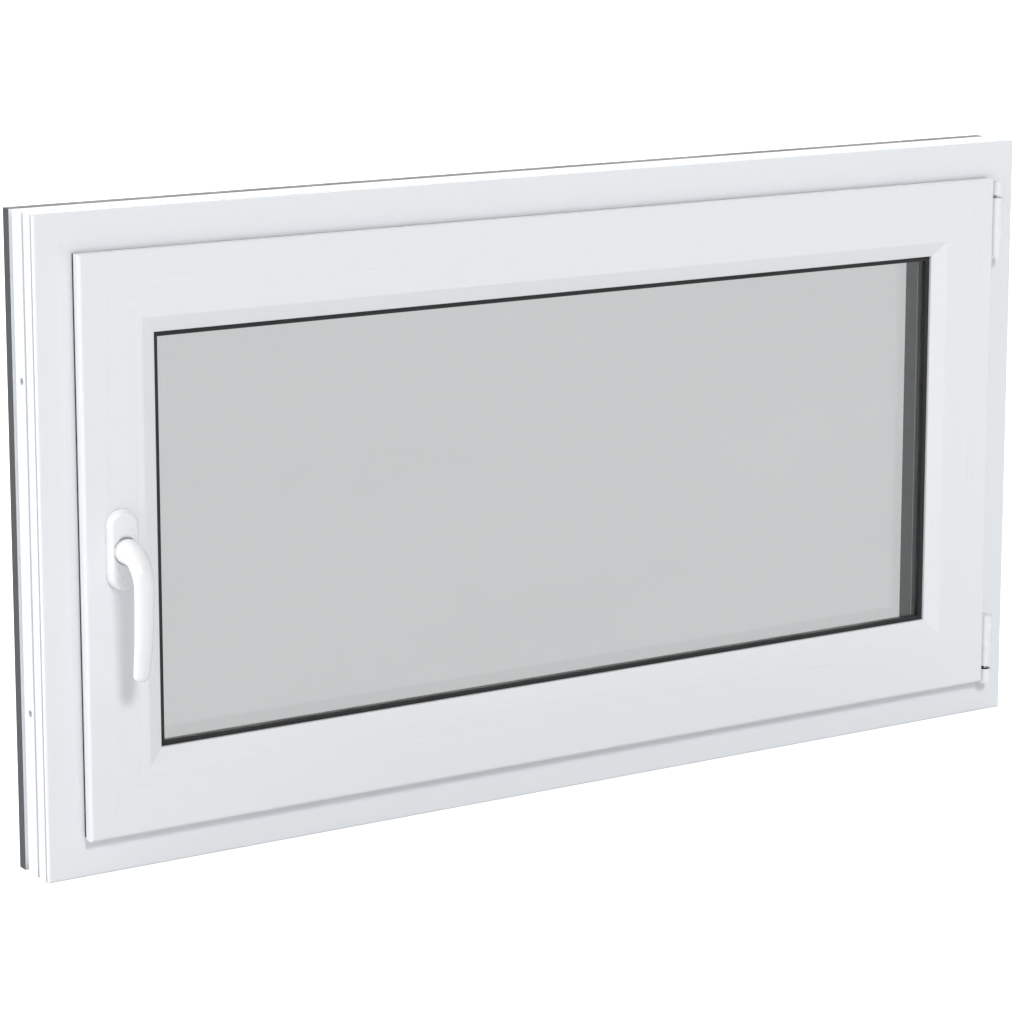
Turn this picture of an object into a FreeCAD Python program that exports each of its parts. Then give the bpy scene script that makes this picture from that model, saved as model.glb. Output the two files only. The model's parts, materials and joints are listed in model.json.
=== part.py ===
import FreeCAD, Part
import math
import os
import sys
from types import SimpleNamespace

import Sketcher
from FreeCAD import Placement, Rotation, Vector

# A tilt-and-turn window: an outer frame, a sash that swings on its right side or tilts at its
# top, sealed double glazing, and the hardware that runs round the sash's edge.
# Frame: origin at the bottom centre of the outer frame, half way through its depth.
# +X points to the hinge side, -Y into the room, +Z up. Millimetres.
# "Inset" is a distance inward from the outer frame's outer edge, the same on all four sides.

doc = FreeCAD.newDocument("window")

SIZES = {
    # the outer frame and what its section is made of
    "frame_width": 1100,
    "frame_height": 600,
    "frame_depth": 60,
    "frame_face": 44,
    "leg_height": 18,
    "leg_thick": 11,
    "wall": 3,
    "groove_deep": 5,
    "edge_round": 2.5,
    "foil_thick": 0.4,
    "foil_wrap": 11,
    "steel_thick": 1.5,
    # how the sash sits in it
    "overlap": 8,
    "hardware_gap": 12,
    "seal_gap": 3,
    "seal_clear": 0.3,
    "flange_thick": 11,
    "sash_face": 75,
    "sash_round": 3,
    "sash_foil_wrap": 8,
    # glazing
    "rebate_high": 20.5,
    "outer_lip_drop": 8,
    "seal_lip": 4.5,
    "sash_leg": 20,
    "pane_thick": 4,
    "cavity": 16,
    "packer": 4.5,
    "spacer_high": 6.5,
    "sealant_high": 4,
    "bead_foot": 2.5,
    "bead_flat": 5.5,
    "bead_nose": 3,
    # the hardware groove in the sash's edge
    "groove_centre": -20,
    "plate_wide": 16,
    "plate_thick": 2.4,
    "channel_wide": 12,
    "channel_deep": 8.6,
    "corner_leg": 74,
    # gear and rods
    "backset": 15,
    "gear_teeth": 14,
    "gear_thick": 6,
    "gear_play": 0.3,
    "rod_wide": 10,
    "rod_thick": 2.1,
    "rod_play": 0.2,
    "cam_neck": 3,
    "cam_head": 5,
    "cam_lift": 0.8,
    "keep_base": 1.8,
    "keep_lip": 2,
    "keep_long": 36,
    "cam_from_end": 80,
    # handle
    "rose_wide": 30,
    "rose_tall": 73,
    "rose_deep": 10,
    "rose_wall": 2,
    "screw_spread": 43,
    "neck_radius": 11,
    "lever_out": 36,
    "lever_drop": 113,
    "lever_wide": 19,
    "lever_thick": 12,
    "spindle_side": 7,
    # hinges
    "hinge_out": 7.8,
    "hinge_front": 8,
    "cover_radius": 6.9,
    "knuckle_radius": 6,
    "ball_radius": 4.2,
    "pin_radius": 2.5,
    "fit_gap": 0.05,
    "band_thick": 2.4,
    "arm_long": 430,
    "arm_thick": 2.4,
    "arm_wide": 14,
    # fixing holes through the two jambs
    "fixing_radius": 3.25,
    "fixing_spread": 300,
}

sheet = doc.addObject("Spreadsheet::Sheet", "dims")
for row, (alias, number) in enumerate(SIZES.items(), start=1):
    sheet.set(f"A{row}", alias)
    sheet.set(f"B{row}", str(number))
    sheet.setAlias(f"B{row}", alias)
doc.recompute()


class Size:
    """A length that carries its number and the sheet expression that gives it."""

    def __init__(self, value, text):
        self.value = value
        self.text = text

    def __add__(self, other):
        other = size(other)
        return Size(self.value + other.value, f"({self.text} + {other.text})")

    def __sub__(self, other):
        other = size(other)
        return Size(self.value - other.value, f"({self.text} - {other.text})")

    def __mul__(self, other):
        other = size(other)
        return Size(self.value * other.value, f"({self.text} * {other.text})")

    def __truediv__(self, other):
        other = size(other)
        return Size(self.value / other.value, f"({self.text} / {other.text})")

    def __neg__(self):
        return Size(-self.value, f"(-1 * {self.text})")

    def __radd__(self, other):
        return size(other) + self

    def __rsub__(self, other):
        return size(other) - self


def size(number):
    """A plain number as a Size; a Size comes back as it is."""
    if isinstance(number, Size):
        return number
    return Size(float(number), f"({float(number)!r})")


d = SimpleNamespace(**{alias: Size(float(number), f"dims.{alias}") for alias, number in SIZES.items()})

# Depths (Y) of the section, from the room side to the outside.
room_y = -d.frame_depth / 2
out_y = d.frame_depth / 2
flange_back = room_y - d.seal_gap
sash_front = flange_back - d.flange_thick
leg_front = out_y - d.leg_thick
sash_back = leg_front - d.seal_gap
pane_out = sash_back - d.sash_leg - d.seal_gap
cavity_out = pane_out - d.pane_thick
cavity_in = cavity_out - d.cavity
pane_in = cavity_in - d.pane_thick
bead_back = pane_in - d.seal_gap

# Insets of the section, from the frame's outer edge inward.
rebate = d.frame_face
leg_end = rebate + d.leg_height
sash_edge = rebate - d.overlap
sash_side = rebate + d.hardware_gap
plate_under = sash_side + d.plate_thick
channel_floor = plate_under + d.channel_deep
sight_line = sash_edge + d.sash_face
glazing_floor = sight_line - d.rebate_high
outer_sight = sight_line - d.outer_lip_drop  # the outside lip stops short of the bead's edge
pane_edge = glazing_floor + d.packer
spindle_inset = sash_side + d.backset
rod_top = plate_under + d.rod_play
chamber_low = d.groove_deep + d.wall

# The rack lies on the rod and the pinion turns about the spindle, so the teeth take up what is left.
TOOTH_ROOT, TOOTH_TIP = 1.25, 0.72  # in modules, below and above the pitch line
teeth_reach = spindle_inset - rod_top - d.rod_thick
gear_module = teeth_reach / (d.gear_teeth / 2 + TOOTH_ROOT)
pitch_radius = gear_module * d.gear_teeth / 2
travel = pitch_radius * math.pi  # what the rods move in half a turn of the handle

# Corners and centres in the room's own axes.
half_width = d.frame_width / 2
mid_height = d.frame_height / 2
spindle_x = spindle_inset - half_width
hinge_x = half_width - sash_edge + d.hinge_out
hinge_y = room_y - d.hinge_front

nodes = []


def node(thing, label):
    """Marks an object as a sub-part, with the label that names its file."""
    thing.Label = label
    nodes.append(thing)
    return thing


def bind(thing, prop, amount):
    """Sets a property to a size, through the sheet."""
    thing.setExpression(prop, size(amount).text)


def place(thing, x, y, z, rotation=Rotation()):
    """Puts an object at a bound position."""
    x, y, z = size(x), size(y), size(z)
    thing.Placement = Placement(Vector(x.value, y.value, z.value), rotation)
    for axis, amount in zip("xyz", (x, y, z)):
        bind(thing, f"Placement.Base.{axis}", amount)
    return thing


# The frame's four sides. A member is drawn with X along it, Y through the depth and Z as inset.
SIDES = {
    "bottom": (0, size(0), size(0), d.frame_width),
    "top": (180, size(0), d.frame_height, d.frame_width),
    "handle": (90, -half_width, mid_height, d.frame_height),
    "hinge": (-90, half_width, mid_height, d.frame_height),
}


def on_side(thing, side):
    """Turns something drawn along a member onto its side of the frame."""
    angle, x, z, _ = SIDES[side]
    if thing.TypeId in ("Part::Box", "Part::Cylinder"):
        thing = group(thing)
    return place(thing, x, 0, z, Rotation(Vector(0, 1, 0), angle))


# ---- Part primitives and booleans ----

def box(x, y, z):
    """A block between three (low, high) pairs."""
    thing = doc.addObject("Part::Box", "block")
    for prop, (low, high) in zip(("Length", "Width", "Height"), (x, y, z)):
        bind(thing, prop, size(high) - low)
    return place(thing, x[0], y[0], z[0])


AXES = {"x": Vector(1, 0, 0), "y": Vector(0, 1, 0), "z": Vector(0, 0, 1)}


def round_bar(axis, centre, span, radius):
    """A cylinder along an axis; centre is its place on the other two axes, in order."""
    thing = doc.addObject("Part::Cylinder", "round_bar")
    bind(thing, "Radius", radius)
    bind(thing, "Height", size(span[1]) - span[0])
    spot = list(centre)
    spot.insert("xyz".index(axis), span[0])
    return place(thing, *spot, Rotation(Vector(0, 0, 1), AXES[axis]))


def ball(x, y, z, radius):
    thing = doc.addObject("Part::Sphere", "ball")
    bind(thing, "Radius", radius)
    return place(thing, x, y, z)


def fuse(*shapes):
    thing = doc.addObject("Part::MultiFuse", "joined")
    thing.Shapes = list(shapes)
    return thing


def cut(base, *tools):
    thing = doc.addObject("Part::Cut", "cut")
    thing.Base = base
    thing.Tool = tools[0] if len(tools) == 1 else fuse(*tools)
    return thing


def group(*shapes):
    """Separate solids of one kind in one sub-part."""
    thing = doc.addObject("Part::Compound", "group")
    thing.Links = list(shapes)
    return thing


# ---- sketches and bodies ----

def new_body(label):
    return node(doc.addObject("PartDesign::Body", label), label)


def new_sketch(body, plane, offset=0):
    """A sketch on one of its body's own origin planes, moved along the plane's normal."""
    drawing = body.newObject("Sketcher::SketchObject", f"{body.Name}_sketch")
    origin = next(f for f in body.Origin.OriginFeatures if f.Role == plane)
    drawing.AttachmentSupport = (origin, [""])
    drawing.MapMode = "FlatFace"
    offset = size(offset)
    drawing.AttachmentOffset = Placement(Vector(0, 0, offset.value), Rotation())
    bind(drawing, "AttachmentOffset.Base.z", offset)
    return drawing


def hold(drawing, kind, geometry, point, amount):
    """Ties one coordinate of a point to its size."""
    amount = size(amount)
    index = drawing.addConstraint(Sketcher.Constraint(kind, -1, 1, geometry, point, amount.value))
    drawing.setExpression(f"Constraints[{index}]", amount.text)


def outline(drawing, points):
    """A closed loop of straight lines through bound corners."""
    corners = [(size(u), size(v)) for u, v in points]
    first = drawing.GeometryCount
    ends = corners[1:] + corners[:1]
    lines = [
        Part.LineSegment(Vector(a.value, b.value, 0), Vector(e.value, f.value, 0))
        for (a, b), (e, f) in zip(corners, ends)
    ]
    drawing.addGeometry(lines, False)
    count = len(corners)
    drawing.addConstraint(
        [Sketcher.Constraint("Coincident", first + i, 2, first + (i + 1) % count, 1) for i in range(count)]
    )
    for i, (u, v) in enumerate(corners):
        hold(drawing, "DistanceX", first + i, 1, u)
        hold(drawing, "DistanceY", first + i, 1, v)


def rectangle(drawing, u, v):
    outline(drawing, [(u[0], v[0]), (u[1], v[0]), (u[1], v[1]), (u[0], v[1])])


def ring(drawing, outer_inset, inner_inset):
    """Two rectangles on the front plane that follow the frame at two insets."""
    for inset in (outer_inset, inner_inset):
        reach = half_width - inset
        rectangle(drawing, (-reach, reach), (inset, d.frame_height - inset))


def circle(drawing, u, v, radius):
    u, v, radius = size(u), size(v), size(radius)
    curve = Part.Circle(Vector(u.value, v.value, 0), Vector(0, 0, 1), radius.value)
    index = drawing.addGeometry(curve, False)
    hold(drawing, "DistanceX", index, 3, u)
    hold(drawing, "DistanceY", index, 3, v)
    ties = drawing.addConstraint(Sketcher.Constraint("Radius", index, radius.value))
    drawing.setExpression(f"Constraints[{ties}]", radius.text)


def pad(body, drawing, length, symmetric=False):
    feature = body.newObject("PartDesign::Pad", f"{body.Name}_pad")
    feature.Profile = drawing
    feature.SideType = "Symmetric" if symmetric else "One side"
    bind(feature, "Length", length)
    doc.recompute()
    return feature


def pocket(body, drawing, length=None, reverse=False):
    """Cuts a sketch's depth out of a body, or all the way both ways if no length is given."""
    before = body.Shape.Volume
    feature = body.newObject("PartDesign::Pocket", f"{body.Name}_pocket")
    feature.Profile = drawing
    feature.Reversed = reverse
    if length is None:
        feature.SideType = "Symmetric"
        feature.Type = "ThroughAll"
    else:
        bind(feature, "Length", length)
    doc.recompute()
    if not body.Shape.Volume < before - 1e-3:
        raise RuntimeError(f"a pocket in {body.Label} cut nothing")
    return feature


def round_edges(body, places, radius):
    """Rounds the long edges that run along X through each (y, inset)."""
    base = body.Tip
    wanted = [(size(y).value, size(z).value) for y, z in places]
    names = []
    for number, edge in enumerate(base.Shape.Edges, start=1):
        a, b = edge.Vertexes[0].Point, edge.Vertexes[-1].Point
        for y, z in wanted:
            if max(abs(a.y - y), abs(b.y - y), abs(a.z - z), abs(b.z - z)) < 1e-4:
                names.append(f"Edge{number}")
    if len(names) != len(wanted):
        raise RuntimeError(f"{body.Label}: {len(names)} edges found, {len(wanted)} wanted")
    feature = body.newObject("PartDesign::Fillet", f"{body.Name}_round")
    feature.Base = (base, names)
    bind(feature, "Radius", radius)
    doc.recompute()


def member(label, side, loops, rounds):
    """A mitred length of profile: its section swept along the side, then both ends cut at 45 degrees."""
    length = SIDES[side][3]
    body = new_body(label)
    section = new_sketch(body, "YZ_Plane")
    for points in loops:
        outline(section, points)
    pad(body, section, length, symmetric=True)
    for places, radius in rounds:
        round_edges(body, places, radius)
    mitre = new_sketch(body, "XZ_Plane")
    reach = sight_line + d.wall
    for sign in (-1, 1):
        end = length / 2 * sign
        outline(mitre, [
            (end + sign, -1),
            (end + sign, reach),
            (end - reach * sign, reach),
        ])
    pocket(body, mitre)
    return on_side(body, side)


def frame_drill(body, spots, depth, from_y=None, from_inset=None):
    """Round holes in a member, from a plane facing the room or one facing the opening.
    A spot is (place along the member, inset or depth, radius)."""
    if from_y is not None:
        drawing = new_sketch(body, "XZ_Plane", -from_y)
    else:
        drawing = new_sketch(body, "XY_Plane", from_inset)
    for u, v, radius in spots:
        circle(drawing, u, v, radius)
    return pocket(body, drawing, depth)


def screw(axis, centre, head, tip, head_radius, shank_radius, head_deep):
    """A headed screw from its head's top to its tip, along an axis in either direction."""
    way = 1 if size(tip).value > size(head).value else -1
    under = size(head) + size(head_deep) * way
    spans = [(head, under), (under, tip)]
    if way < 0:
        spans = [(low, high) for high, low in spans]
    radii = (head_radius, shank_radius)
    return fuse(*(round_bar(axis, centre, span, r) for span, r in zip(spans, radii)))


# ---- outer frame ----

def rect_points(y, z):
    return [(y[0], z[0]), (y[1], z[0]), (y[1], z[1]), (y[0], z[1])]


GROOVES = ((3, 5.5), (19, 22.5), (41.5, 49))  # depths from the room face, in the outer edge
STEEL_ROOM, STEEL_OUT = 13, 42  # depths of the steel's chamber from the room face


def frame_section():
    points = [(room_y, 0)]
    for near, far in GROOVES:
        points += [
            (room_y + near, 0),
            (room_y + near, d.groove_deep),
            (room_y + far, d.groove_deep),
            (room_y + far, 0),
        ]
    points[-1] = (out_y - d.foil_wrap, d.foil_thick)
    points[-2] = (out_y - d.foil_wrap, d.groove_deep)
    skin_y = out_y - d.foil_thick
    points += [
        (skin_y, d.foil_thick),
        (skin_y, leg_end - d.foil_thick),
        (leg_front, leg_end - d.foil_thick),
        (leg_front, rebate),
        (room_y, rebate),
    ]
    inner = rebate - d.wall
    chambers = [
        rect_points((room_y + d.wall, room_y + STEEL_ROOM - d.wall), (chamber_low, inner)),
        rect_points((room_y + STEEL_ROOM, room_y + STEEL_OUT), (chamber_low, inner)),
        rect_points((room_y + STEEL_OUT + d.wall, skin_y - d.wall), (chamber_low, inner)),
        rect_points((leg_front + d.wall, skin_y - d.wall), (rebate, leg_end - d.foil_thick - d.wall)),
    ]
    return [points] + chambers


def frame_member(label, side):
    return member(label, side, frame_section(), [
        ([(room_y, 0)], d.edge_round),
        ([(room_y, rebate), (leg_front, leg_end - d.foil_thick)], size(1)),
    ])


frame_sill = frame_member("frame_sill", "bottom")
frame_head = frame_member("frame_head", "top")
handle_jamb = frame_member("frame_jamb_handle_side", "handle")
hinge_jamb = frame_member("frame_jamb_hinge_side", "hinge")

# The fixing holes run through both jambs, so they pass the outer walls and the steel as well.
fixings = [(d.fixing_spread / 2 * sign, 0, d.fixing_radius) for sign in (-1, 1)]
for jamb in (handle_jamb, hinge_jamb):
    frame_drill(jamb, fixings, rebate + 1, from_inset=rebate)

DRAIN_AT = (-300, 300)
DRAIN_HALF, DRAIN_LOW, DRAIN_HIGH = 14, 20, 26


def drain_slots(body):
    """Slots through the outer wall of the sill, below the glass line."""
    drawing = new_sketch(body, "XZ_Plane", -out_y)
    for middle in DRAIN_AT:
        rectangle(drawing, (middle - DRAIN_HALF, middle + DRAIN_HALF), (DRAIN_LOW, DRAIN_HIGH))
    pocket(body, drawing, d.wall + 1, reverse=True)


drain_slots(frame_sill)


def steel_tube(side, y, z, inset):
    """A square-cut steel box section inside a member's chamber."""
    half = SIDES[side][3] / 2 - inset
    wall = d.steel_thick
    outer = box((-half, half), y, z)
    hollow = box((-half - 1, half + 1), (y[0] + wall, y[1] - wall), (z[0] + wall, z[1] - wall))
    return on_side(cut(outer, hollow), side)


def steels(label, y, z, inset, bored=None):
    """One tube in each member; bored gives the holes in them, side by side."""
    tubes = []
    for side in SIDES:
        tube = steel_tube(side, y, z, inset)
        holes = (bored or {}).get(side, ())
        if holes:
            drills = [on_side(round_bar("z", (u, v), span, radius), side) for u, v, radius, span in holes]
            tube = cut(tube, *drills)
        tubes.append(tube)
    return node(group(*tubes), label)


def foil_skin(label, outer, inner, back, wrap, lining=None):
    """A thin U-shaped film over a ring's outer face and both its edges; a lining goes deeper inside."""
    body = new_body(label)
    block = new_sketch(body, "XZ_Plane", -back)
    ring(block, outer, inner)
    pad(body, block, wrap)
    core = new_sketch(body, "XZ_Plane", -(back - wrap))
    ring(core, outer + d.foil_thick, inner - d.foil_thick)
    pocket(body, core, wrap - d.foil_thick)
    if lining is not None:
        deeper = new_sketch(body, "XZ_Plane", -(back - wrap))
        ring(deeper, inner - d.foil_thick, inner)
        pad(body, deeper, lining - wrap)
    return body


frame_foil = foil_skin("frame_outer_foil", size(0), leg_end, out_y, d.foil_wrap)
drain_slots(frame_foil)


def flat_ring(label, outer, inner, front, back):
    body = new_body(label)
    drawing = new_sketch(body, "XZ_Plane", -back)
    ring(drawing, outer, inner)
    pad(body, drawing, back - front)
    return body


flat_ring("frame_gasket", leg_end - 5, leg_end - 1, sash_back + d.seal_clear, leg_front)

CAP_OVER, CAP_PROUD = 4, 2.5
CAP_WALL = 2
SPOUT_HALF, SPOUT_DEEP = 10, 1.5
caps = []
for middle in DRAIN_AT:
    reach = DRAIN_HALF + CAP_OVER
    cap_z = (DRAIN_LOW - CAP_OVER, DRAIN_HIGH + CAP_OVER)
    plate = box((middle - reach, middle + reach), (out_y, out_y + CAP_PROUD), cap_z)
    plug_x = (middle - DRAIN_HALF, middle + DRAIN_HALF)
    plug = box(plug_x, (out_y - d.wall, out_y), (DRAIN_LOW, DRAIN_HIGH))
    mouth = box(
        (plug_x[0] + CAP_WALL, plug_x[1] - CAP_WALL),
        (out_y - d.wall - 1, out_y + SPOUT_DEEP),
        (DRAIN_LOW + CAP_WALL / 2, DRAIN_HIGH - CAP_WALL / 2),
    )
    spout_z = (cap_z[0] - 1, DRAIN_LOW + CAP_WALL)
    spout = box((middle - SPOUT_HALF, middle + SPOUT_HALF), (out_y - 1, out_y + SPOUT_DEEP), spout_z)
    caps.append(cut(fuse(plate, plug), mouth, spout))
node(group(*caps), "drainage_caps")


# ---- keeps on the frame's rebate ----

stile_end = SIDES["handle"][3] / 2 - sash_side - d.corner_leg  # where the corner drives begin
rail_end = SIDES["top"][3] / 2 - sash_side - d.corner_leg
stile_cam = stile_end - d.cam_from_end
top_cam = rail_end - 220
tilt_cam = -rail_end + 40
CAMS = {  # each side's cams, by their places along the member when the sash is locked
    "handle": (-stile_cam, stile_cam),
    "top": (top_cam,),
    "bottom": (tilt_cam,),
}
keep_top = rebate + d.keep_base
lip_top = keep_top + d.keep_lip
KEEP_BACK = 11  # how far a keep's base runs outward of the groove's centre
KEEP_SCREW = (3.2, 1.6, 12)  # head radius, shank radius, length
KEEP_HEAD_DEEP = 1.2


def keep(side, at, tall):
    """A striker plate: a base on the rebate and a low lip on the room side of the cam."""
    lip_y = d.groove_centre - d.cam_head - 1
    half = d.keep_long / 2
    plate = box((at - half, at + half), (room_y + 0.5, d.groove_centre + KEEP_BACK), (rebate, keep_top))
    lip = box((at - half + 4, at + half - 4), (room_y + 0.5, lip_y), (keep_top, lip_top))
    shapes = [plate, lip]
    if tall:
        for sign in (-1, 1):
            ear = at + (half - 5) * sign
            shapes.append(box((ear - 4, ear + 4), (lip_y, d.groove_centre - 2), (keep_top, keep_top + 1)))
    holes = keep_screws(at)
    return on_side(cut(fuse(*shapes), *holes), side)


def keep_screws(at):
    head_radius, shank_radius, long = KEEP_SCREW
    spots = [(at + (d.keep_long / 2 - 6) * sign, d.groove_centre + 6) for sign in (-1, 1)]
    return [
        screw("z", spot, keep_top, rebate - long, head_radius, shank_radius, KEEP_HEAD_DEEP) for spot in spots
    ]


def keep_hole_spots(side):
    spots = []
    for at in CAMS[side]:
        for sign in (-1, 1):
            spots.append((at + (d.keep_long / 2 - 6) * sign, d.groove_centre + 6, KEEP_SCREW[1]))
    return spots


for body, side in ((handle_jamb, "handle"), (frame_head, "top"), (frame_sill, "bottom")):
    frame_drill(body, keep_hole_spots(side), size(KEEP_SCREW[2]), from_inset=rebate)
lock_keeps = [keep("handle", at, False) for at in CAMS["handle"]]
lock_keeps.append(keep("top", CAMS["top"][0], False))
node(group(*lock_keeps), "lock_keeps")
node(keep("bottom", CAMS["bottom"][0], True), "tilt_keep")
all_keep_screws = []
for side, cams in CAMS.items():
    for at in cams:
        all_keep_screws += [on_side(part, side) for part in keep_screws(at)]
node(group(*all_keep_screws), "keep_screws")

through = (size(0), rebate)
near_rebate = (rebate - KEEP_SCREW[2], rebate)
steel_holes = {side: [(*spot, near_rebate) for spot in keep_hole_spots(side)] for side in CAMS}
steel_holes["hinge"] = []
for side in ("handle", "hinge"):
    steel_holes[side] += [(*spot, through) for spot in fixings]
steels(
    "frame_steels",
    (room_y + STEEL_ROOM, room_y + STEEL_OUT),
    (chamber_low, rebate - d.wall),
    rebate,
    bored=steel_holes,
)


# ---- sash profile ----

half_plate = d.plate_wide / 2
half_channel = d.channel_wide / 2
foot_back = bead_back - 3  # the bead's foot clips into the sash in front of the glass
foot_front = foot_back - 3
WEB = 3
BARE_EDGE = 1.5  # of the outside lip beside the glass, that the film leaves bare


def sash_section():
    skin_y = sash_back - d.foil_thick
    wrap_y = sash_back - d.sash_foil_wrap
    centre = d.groove_centre
    leg_y = sash_back - d.sash_leg
    lining_y = leg_y + BARE_EDGE
    foot = glazing_floor - d.bead_foot
    points = [
        (sash_front, sash_edge),
        (flange_back, sash_edge),
        (flange_back, sash_side),
        (centre - half_plate, sash_side),
        (centre - half_plate, plate_under),
        (centre - half_channel, plate_under),
        (centre - half_channel, channel_floor),
        (centre + half_channel, channel_floor),
        (centre + half_channel, plate_under),
        (centre + half_plate, plate_under),
        (centre + half_plate, sash_side),
        (wrap_y, sash_side),
        (wrap_y, sash_side + d.foil_thick),
        (skin_y, sash_side + d.foil_thick),
        (skin_y, outer_sight - d.foil_thick),
        (lining_y, outer_sight - d.foil_thick),
        (lining_y, outer_sight),
        (leg_y, outer_sight),
        (leg_y, glazing_floor),
        (foot_back, glazing_floor),
        (foot_back, foot),
        (foot_front, foot),
        (foot_front, glazing_floor),
        (sash_front, glazing_floor),
    ]
    room_web = flange_back - WEB
    floor = foot - d.wall
    low = channel_floor + d.wall
    steel_y = centre + half_channel + WEB
    chambers = [
        rect_points((sash_front + d.wall, room_web), (sash_edge + d.wall, floor)),
        rect_points((flange_back, centre + half_channel + 1), (low, floor)),
        rect_points((steel_y + 1, skin_y - d.wall), (plate_under + 1, floor)),
        rect_points((leg_y + d.wall, skin_y - d.wall), (floor + d.wall, outer_sight - d.foil_thick - d.wall)),
    ]
    return [points] + chambers


def sash_member(label, side):
    return member(label, side, sash_section(), [
        ([(sash_front, sash_edge)], d.sash_round),
        ([(flange_back, sash_edge), (sash_back - d.sash_leg, outer_sight)], size(1)),
    ])


sash_member("sash_bottom_rail", "bottom")
sash_member("sash_top_rail", "top")
handle_stile = sash_member("sash_handle_stile", "handle")
sash_member("sash_hinge_stile", "hinge")

steels(
    "sash_steels",
    (d.groove_centre + half_channel + WEB + 1, sash_back - d.foil_thick - d.wall),
    (plate_under + 1, glazing_floor - d.bead_foot - d.wall),
    glazing_floor + d.wall,
)
lining_deep = d.sash_leg - BARE_EDGE
foil_skin("sash_outer_foil", sash_side, outer_sight, sash_back, d.sash_foil_wrap, lining_deep)

# The sash's own gasket closes on the frame's room face. It stops for the two hinge straps, and its bottom
# run is set back, to clear the frame as the sash tilts.
TILT_SETBACK = 2
band_low, band_high = sash_edge + 24, sash_edge + 64
STRAP_HALF = 4.5
sash_gasket = flat_ring("sash_gasket", sash_edge + 0.4, sash_edge + 5.5, flange_back, room_y - d.seal_clear)
arm_level = d.frame_height - sash_side + 6
notch = new_sketch(sash_gasket, "XZ_Plane")
notch_x = (half_width - sash_edge - 7, half_width - sash_edge)
rectangle(notch, notch_x, (band_low - 1, band_high + 1))
rectangle(notch, notch_x, (arm_level - STRAP_HALF - 3, arm_level + STRAP_HALF + 2))
rectangle(notch, (-half_width, half_width), (sash_edge, sash_edge + TILT_SETBACK))
pocket(sash_gasket, notch)


# ---- double glazing ----

def ring_box(label, outer, inner, front, back):
    """A square ring of four straight sides as one solid, drawn as a block less its middle."""
    def block(inset, low, high):
        reach = half_width - inset
        return box((-reach, reach), (low, high), (inset, d.frame_height - inset))

    return node(cut(block(outer, front, back), block(inner, front - 1, back + 1)), label)


def pane(label, front, back):
    reach = half_width - pane_edge
    return node(box((-reach, reach), (front, back), (pane_edge, d.frame_height - pane_edge)), label)


pane("glass_inner_pane", pane_in, cavity_in)
pane("glass_outer_pane", cavity_out, pane_out)
spacer_out = pane_edge + d.sealant_high
ring_box("edge_sealant", pane_edge, spacer_out, cavity_in, cavity_out)
ring_box("spacer_bar", spacer_out, spacer_out + d.spacer_high, cavity_in, cavity_out)
ring_box("glazing_gasket_inner", glazing_floor + 5, sight_line + d.seal_lip, bead_back, pane_in)
ring_box("glazing_gasket_outer", glazing_floor + 5, outer_sight + 1, pane_out, pane_out + d.seal_gap)

BLOCK_HALF, BLOCK_FROM_CORNER = 50, 150
blocks = []
for side, (_, _, _, length) in SIDES.items():
    for sign in (-1, 1):
        middle = (length / 2 - BLOCK_FROM_CORNER) * sign
        block_x = (middle - BLOCK_HALF, middle + BLOCK_HALF)
        block = box(block_x, (pane_in, pane_out), (glazing_floor, pane_edge))
        blocks.append(on_side(block, side))
node(group(*blocks), "setting_blocks")


def bead(label, side):
    """A clip-in glazing bead: flat beside the sash face, then sloping back to the glass."""
    foot = glazing_floor - d.bead_foot
    nose = (foot_back, sight_line)
    knee = (sash_front, glazing_floor + d.bead_flat)
    points = [
        (sash_front, glazing_floor),
        knee,
        nose,
        (bead_back, sight_line),
        (bead_back, glazing_floor),
        (foot_back, glazing_floor),
        (foot_back, foot),
        (foot_front, foot),
        (foot_front, glazing_floor),
    ]
    return member(label, side, [points], [([knee], d.bead_nose), ([nose], size(1.2))])


bead("bead_bottom", "bottom")
bead("bead_top", "top")
bead("bead_handle_side", "handle")
bead("bead_hinge_side", "hinge")


# ---- faceplates, rods and cams in the sash's groove ----

plate_y = (d.groove_centre - half_plate, d.groove_centre + half_plate)
plate_inset = (sash_side, plate_under)
SLOT_SPARE = 1
# When the handle turns, the stile's rod moves towards +x of its own member (down), the top rod
# towards the handle's corner (+x of the top member) and the bottom rod away from it (+x too).
SPARE = 6
FACEPLATES = {
    "handle": (-stile_end, stile_end),
    "top": (-rail_end - 40, rail_end),
    "bottom": (-rail_end, tilt_cam + 320),
}
RODS = {
    "handle": (-(stile_end - 40), stile_end - 28 - travel),
    "top": (top_cam - 60, rail_end - travel - SPARE),
    "bottom": (-rail_end + SPARE, tilt_cam + 230),
}
STAY_AT = d.arm_long - hinge_x  # the stay's stud, along the top member
STAY_SLIDE = 12
PLATE_SCREWS = {  # along each member, clear of the slots and of the rods
    "handle": (-stile_end + 15, stile_end - 8),
    "top": (top_cam - 75, STAY_AT - 60, STAY_AT - 208, -rail_end - 20),
    "bottom": (tilt_cam + 290,),
}
SCREW_HEAD, SCREW_SHANK, SCREW_HEAD_DEEP = 3.4, 1.8, 1.4


def plate_screws(side):
    return [
        screw("z", (at, d.groove_centre), sash_side, channel_floor, SCREW_HEAD, SCREW_SHANK, SCREW_HEAD_DEEP)
        for at in PLATE_SCREWS[side]
    ]


def cam_slot(at):
    """The opening in a faceplate that a cam's neck runs along."""
    half = d.cam_neck + d.rod_play * 2
    low = at - d.cam_neck - SLOT_SPARE
    high = at + travel + d.cam_neck + SLOT_SPARE
    y = (d.groove_centre - half, d.groove_centre + half)
    return box((low, high), y, (sash_side - 1, plate_under + 1))



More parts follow.
